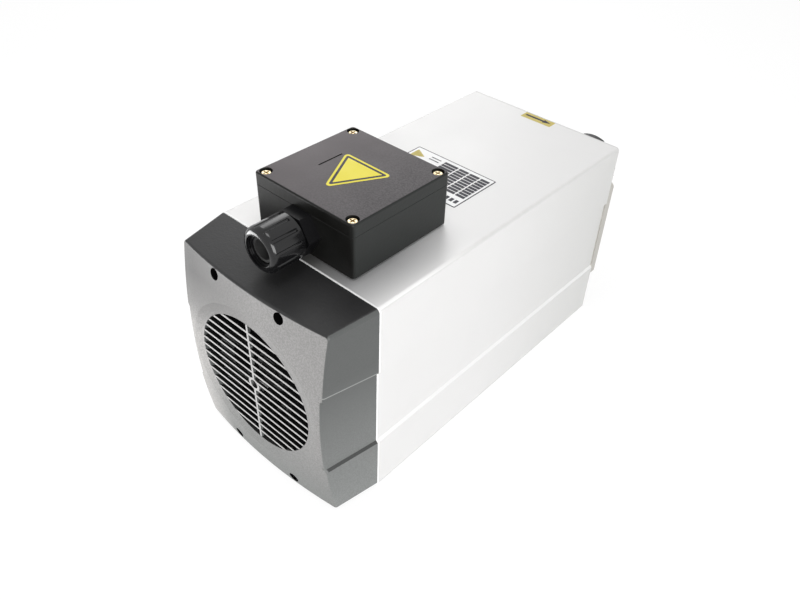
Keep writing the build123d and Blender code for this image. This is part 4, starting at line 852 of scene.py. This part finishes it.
def plate(name, outlines, z, thickness, material, body="housing"):
    """Flat shapes with thickness, lying face up at height z."""
    bm = bmesh.new()
    for outline in outlines:
        low = [bm.verts.new((p[0], p[1], z)) for p in outline]
        high = [bm.verts.new((p[0], p[1], z + thickness)) for p in outline]
        bm.faces.new(high)
        bm.faces.new(low[::-1])
        for i in range(len(low)):
            j = (i + 1) % len(low)
            bm.faces.new((low[i], low[j], high[j], high[i]))
    bmesh.ops.recalc_face_normals(bm, faces=bm.faces)
    mesh = bpy.data.meshes.new(name)
    bm.to_mesh(mesh)
    bm.free()
    mesh.materials.append(material)
    piece = bpy.data.objects.new(name, mesh)
    bpy.context.scene.collection.objects.link(piece)
    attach(piece, body)
    return piece


def film(name, colour, roughness=0.35, metallic=0.0):
    finish = Finish(name, colour, roughness, metallic=metallic, Specular_IOR_Level=0.25)
    tree = finish.tree
    cloud = use(tree, PATCHES, Size_mm=9.0, Sharpness=0.6)["Amount"]
    grain = use(tree, GRAIN, Size_mm=0.25, Roughness=0.6)
    finish.tint(maths(tree, "MULTIPLY", cloud, 0.25), tuple(c * 0.85 for c in colour))
    finish.gloss(cloud, 0.12).bump(grain["Height"], 0.006)
    return finish.done()


def box_outline(x0, y0, x1, y1, radius):
    """A rounded rectangle in millimetres from the housing's rear end."""
    corners = [(x0, y0), (x1, y0), (x1, y1), (x0, y1)]
    return rounded_outline([(x * MM, REAR_Y + y * MM) for x, y in corners], radius * MM)


yellow_film = film("yellow film", (0.85, 0.74, 0.045))
dull_yellow = film("dull yellow film", (0.60, 0.50, 0.15), 0.45)
black_ink = film("black ink", (0.035, 0.033, 0.045), 0.45)
silver_foil = film("pale foil", (0.80, 0.80, 0.80), 0.35, 0.2)

# %% [markdown]
# The lid carries a yellow triangular sticker with a dark band inside its edge. Its middle is left plain. It
# is three layers: the yellow film, the band, and the yellow middle on top of it.

# %% The triangle on the lid
TRIANGLE = [(-16.9, 56.6), (19.3, 56.4), (0.8, 22.6)]


def shrunk(corners, amount):
    """A polygon moved inwards by amount on every side."""
    middle = sum((Vector(c) for c in corners), Vector((0, 0))) / len(corners)
    a, b = Vector(corners[0]), Vector(corners[1])
    inner_radius = abs((middle - a).cross((b - a).normalized()))
    share = 1 - amount / inner_radius
    return [tuple(middle + (Vector(c) - middle) * share) for c in corners]


def triangle_outline(amount, radius):
    corners = [(x * MM, REAR_Y + y * MM) for x, y in shrunk(TRIANGLE, amount)]
    return rounded_outline(corners, radius * MM)


plate("sticker_yellow", [triangle_outline(0.0, 2.0)], LID_Z, 2 * FILM, yellow_film)
plate("sticker_band", [triangle_outline(1.45, 1.0)], LID_Z + 2 * FILM, FILM, black_ink)
plate("sticker_middle", [triangle_outline(3.1, 0.2)], LID_Z + 3 * FILM, FILM, yellow_film)

# %% [markdown]
# The rating plate on the housing's top is a pale foil with a thin dark border and a printed table. The
# table's cells stay blank bars, so it carries no words or numbers. A plain yellow label near the nose has an
# arrow that shows which way the spindle turns.

# %% The rating plate and the arrow


def rating_plate():
    x0, y0, x1, y1 = -34.4, 99.9, 30.5, 142.2
    border = 0.75
    first_row, row_step, row_height = 111.3, 3.1, 2.5
    plate("rating_plate_edge", [box_outline(x0, y0, x1, y1, 0.8)], TOP_Z, 2 * FILM, black_ink)
    plate("rating_plate", [box_outline(x0 + border, y0 + border, x1 - border, y1 - border, 0.6)],
          TOP_Z + 2 * FILM, FILM, silver_foil)
    cells = []
    for row in range(9):
        y = first_row + row * row_step
        for x, width in ((-8.1, 11.0), (3.9, 7.8), (12.7, 7.8), (21.5, 6.8)):
            cells.append(box_outline(x, y, x + width, y + row_height, 0.15))
    for y in (133.9, 136.8):
        cells.append(box_outline(-19.1, y, -11.0, y + 0.8, 0.15))
    for x in (18.6, 22.2, 25.8):
        cells.append(box_outline(x, 103.8, x + 2.4, 107.6, 0.15))
    plate("rating_plate_table", cells, TOP_Z + 3 * FILM, FILM, film("grey ink", (0.055, 0.055, 0.065), 0.5))
    mark = [(-31.9, 138.9), (-31.9, 128.6), (-22.4, 133.6)]
    outline = rounded_outline([(x * MM, REAR_Y + y * MM) for x, y in mark], 0.4 * MM)
    plate("rating_plate_mark", [outline], TOP_Z + 3 * FILM, FILM, dull_yellow)


def turning_arrow():
    plate("arrow_label", [box_outline(-13.6, 230.6, 11.6, 238.8, 0.3)], TOP_Z, 2 * FILM, dull_yellow)
    shaft = [(-11.6, -1.0), (3.5, -1.0), (3.5, -2.3), (9.8, 0.0), (3.5, 2.3), (3.5, 1.0), (-11.6, 1.0)]
    outline = [Vector((x * MM, REAR_Y + (235.1 + y) * MM)) for x, y in shaft]
    plate("arrow_print", [outline], TOP_Z + 2 * FILM, FILM, black_ink)


rating_plate()
turning_arrow()
print("stickers made at", round(TOP_Z * 1000, 2), "and", round(LID_Z * 1000, 2), "mm")

# %% [markdown]
# ## The last settings
# The colours are shown as they are, with no film look.

# %% Show the colours as they are
bpy.context.scene.view_settings.view_transform = "Standard"
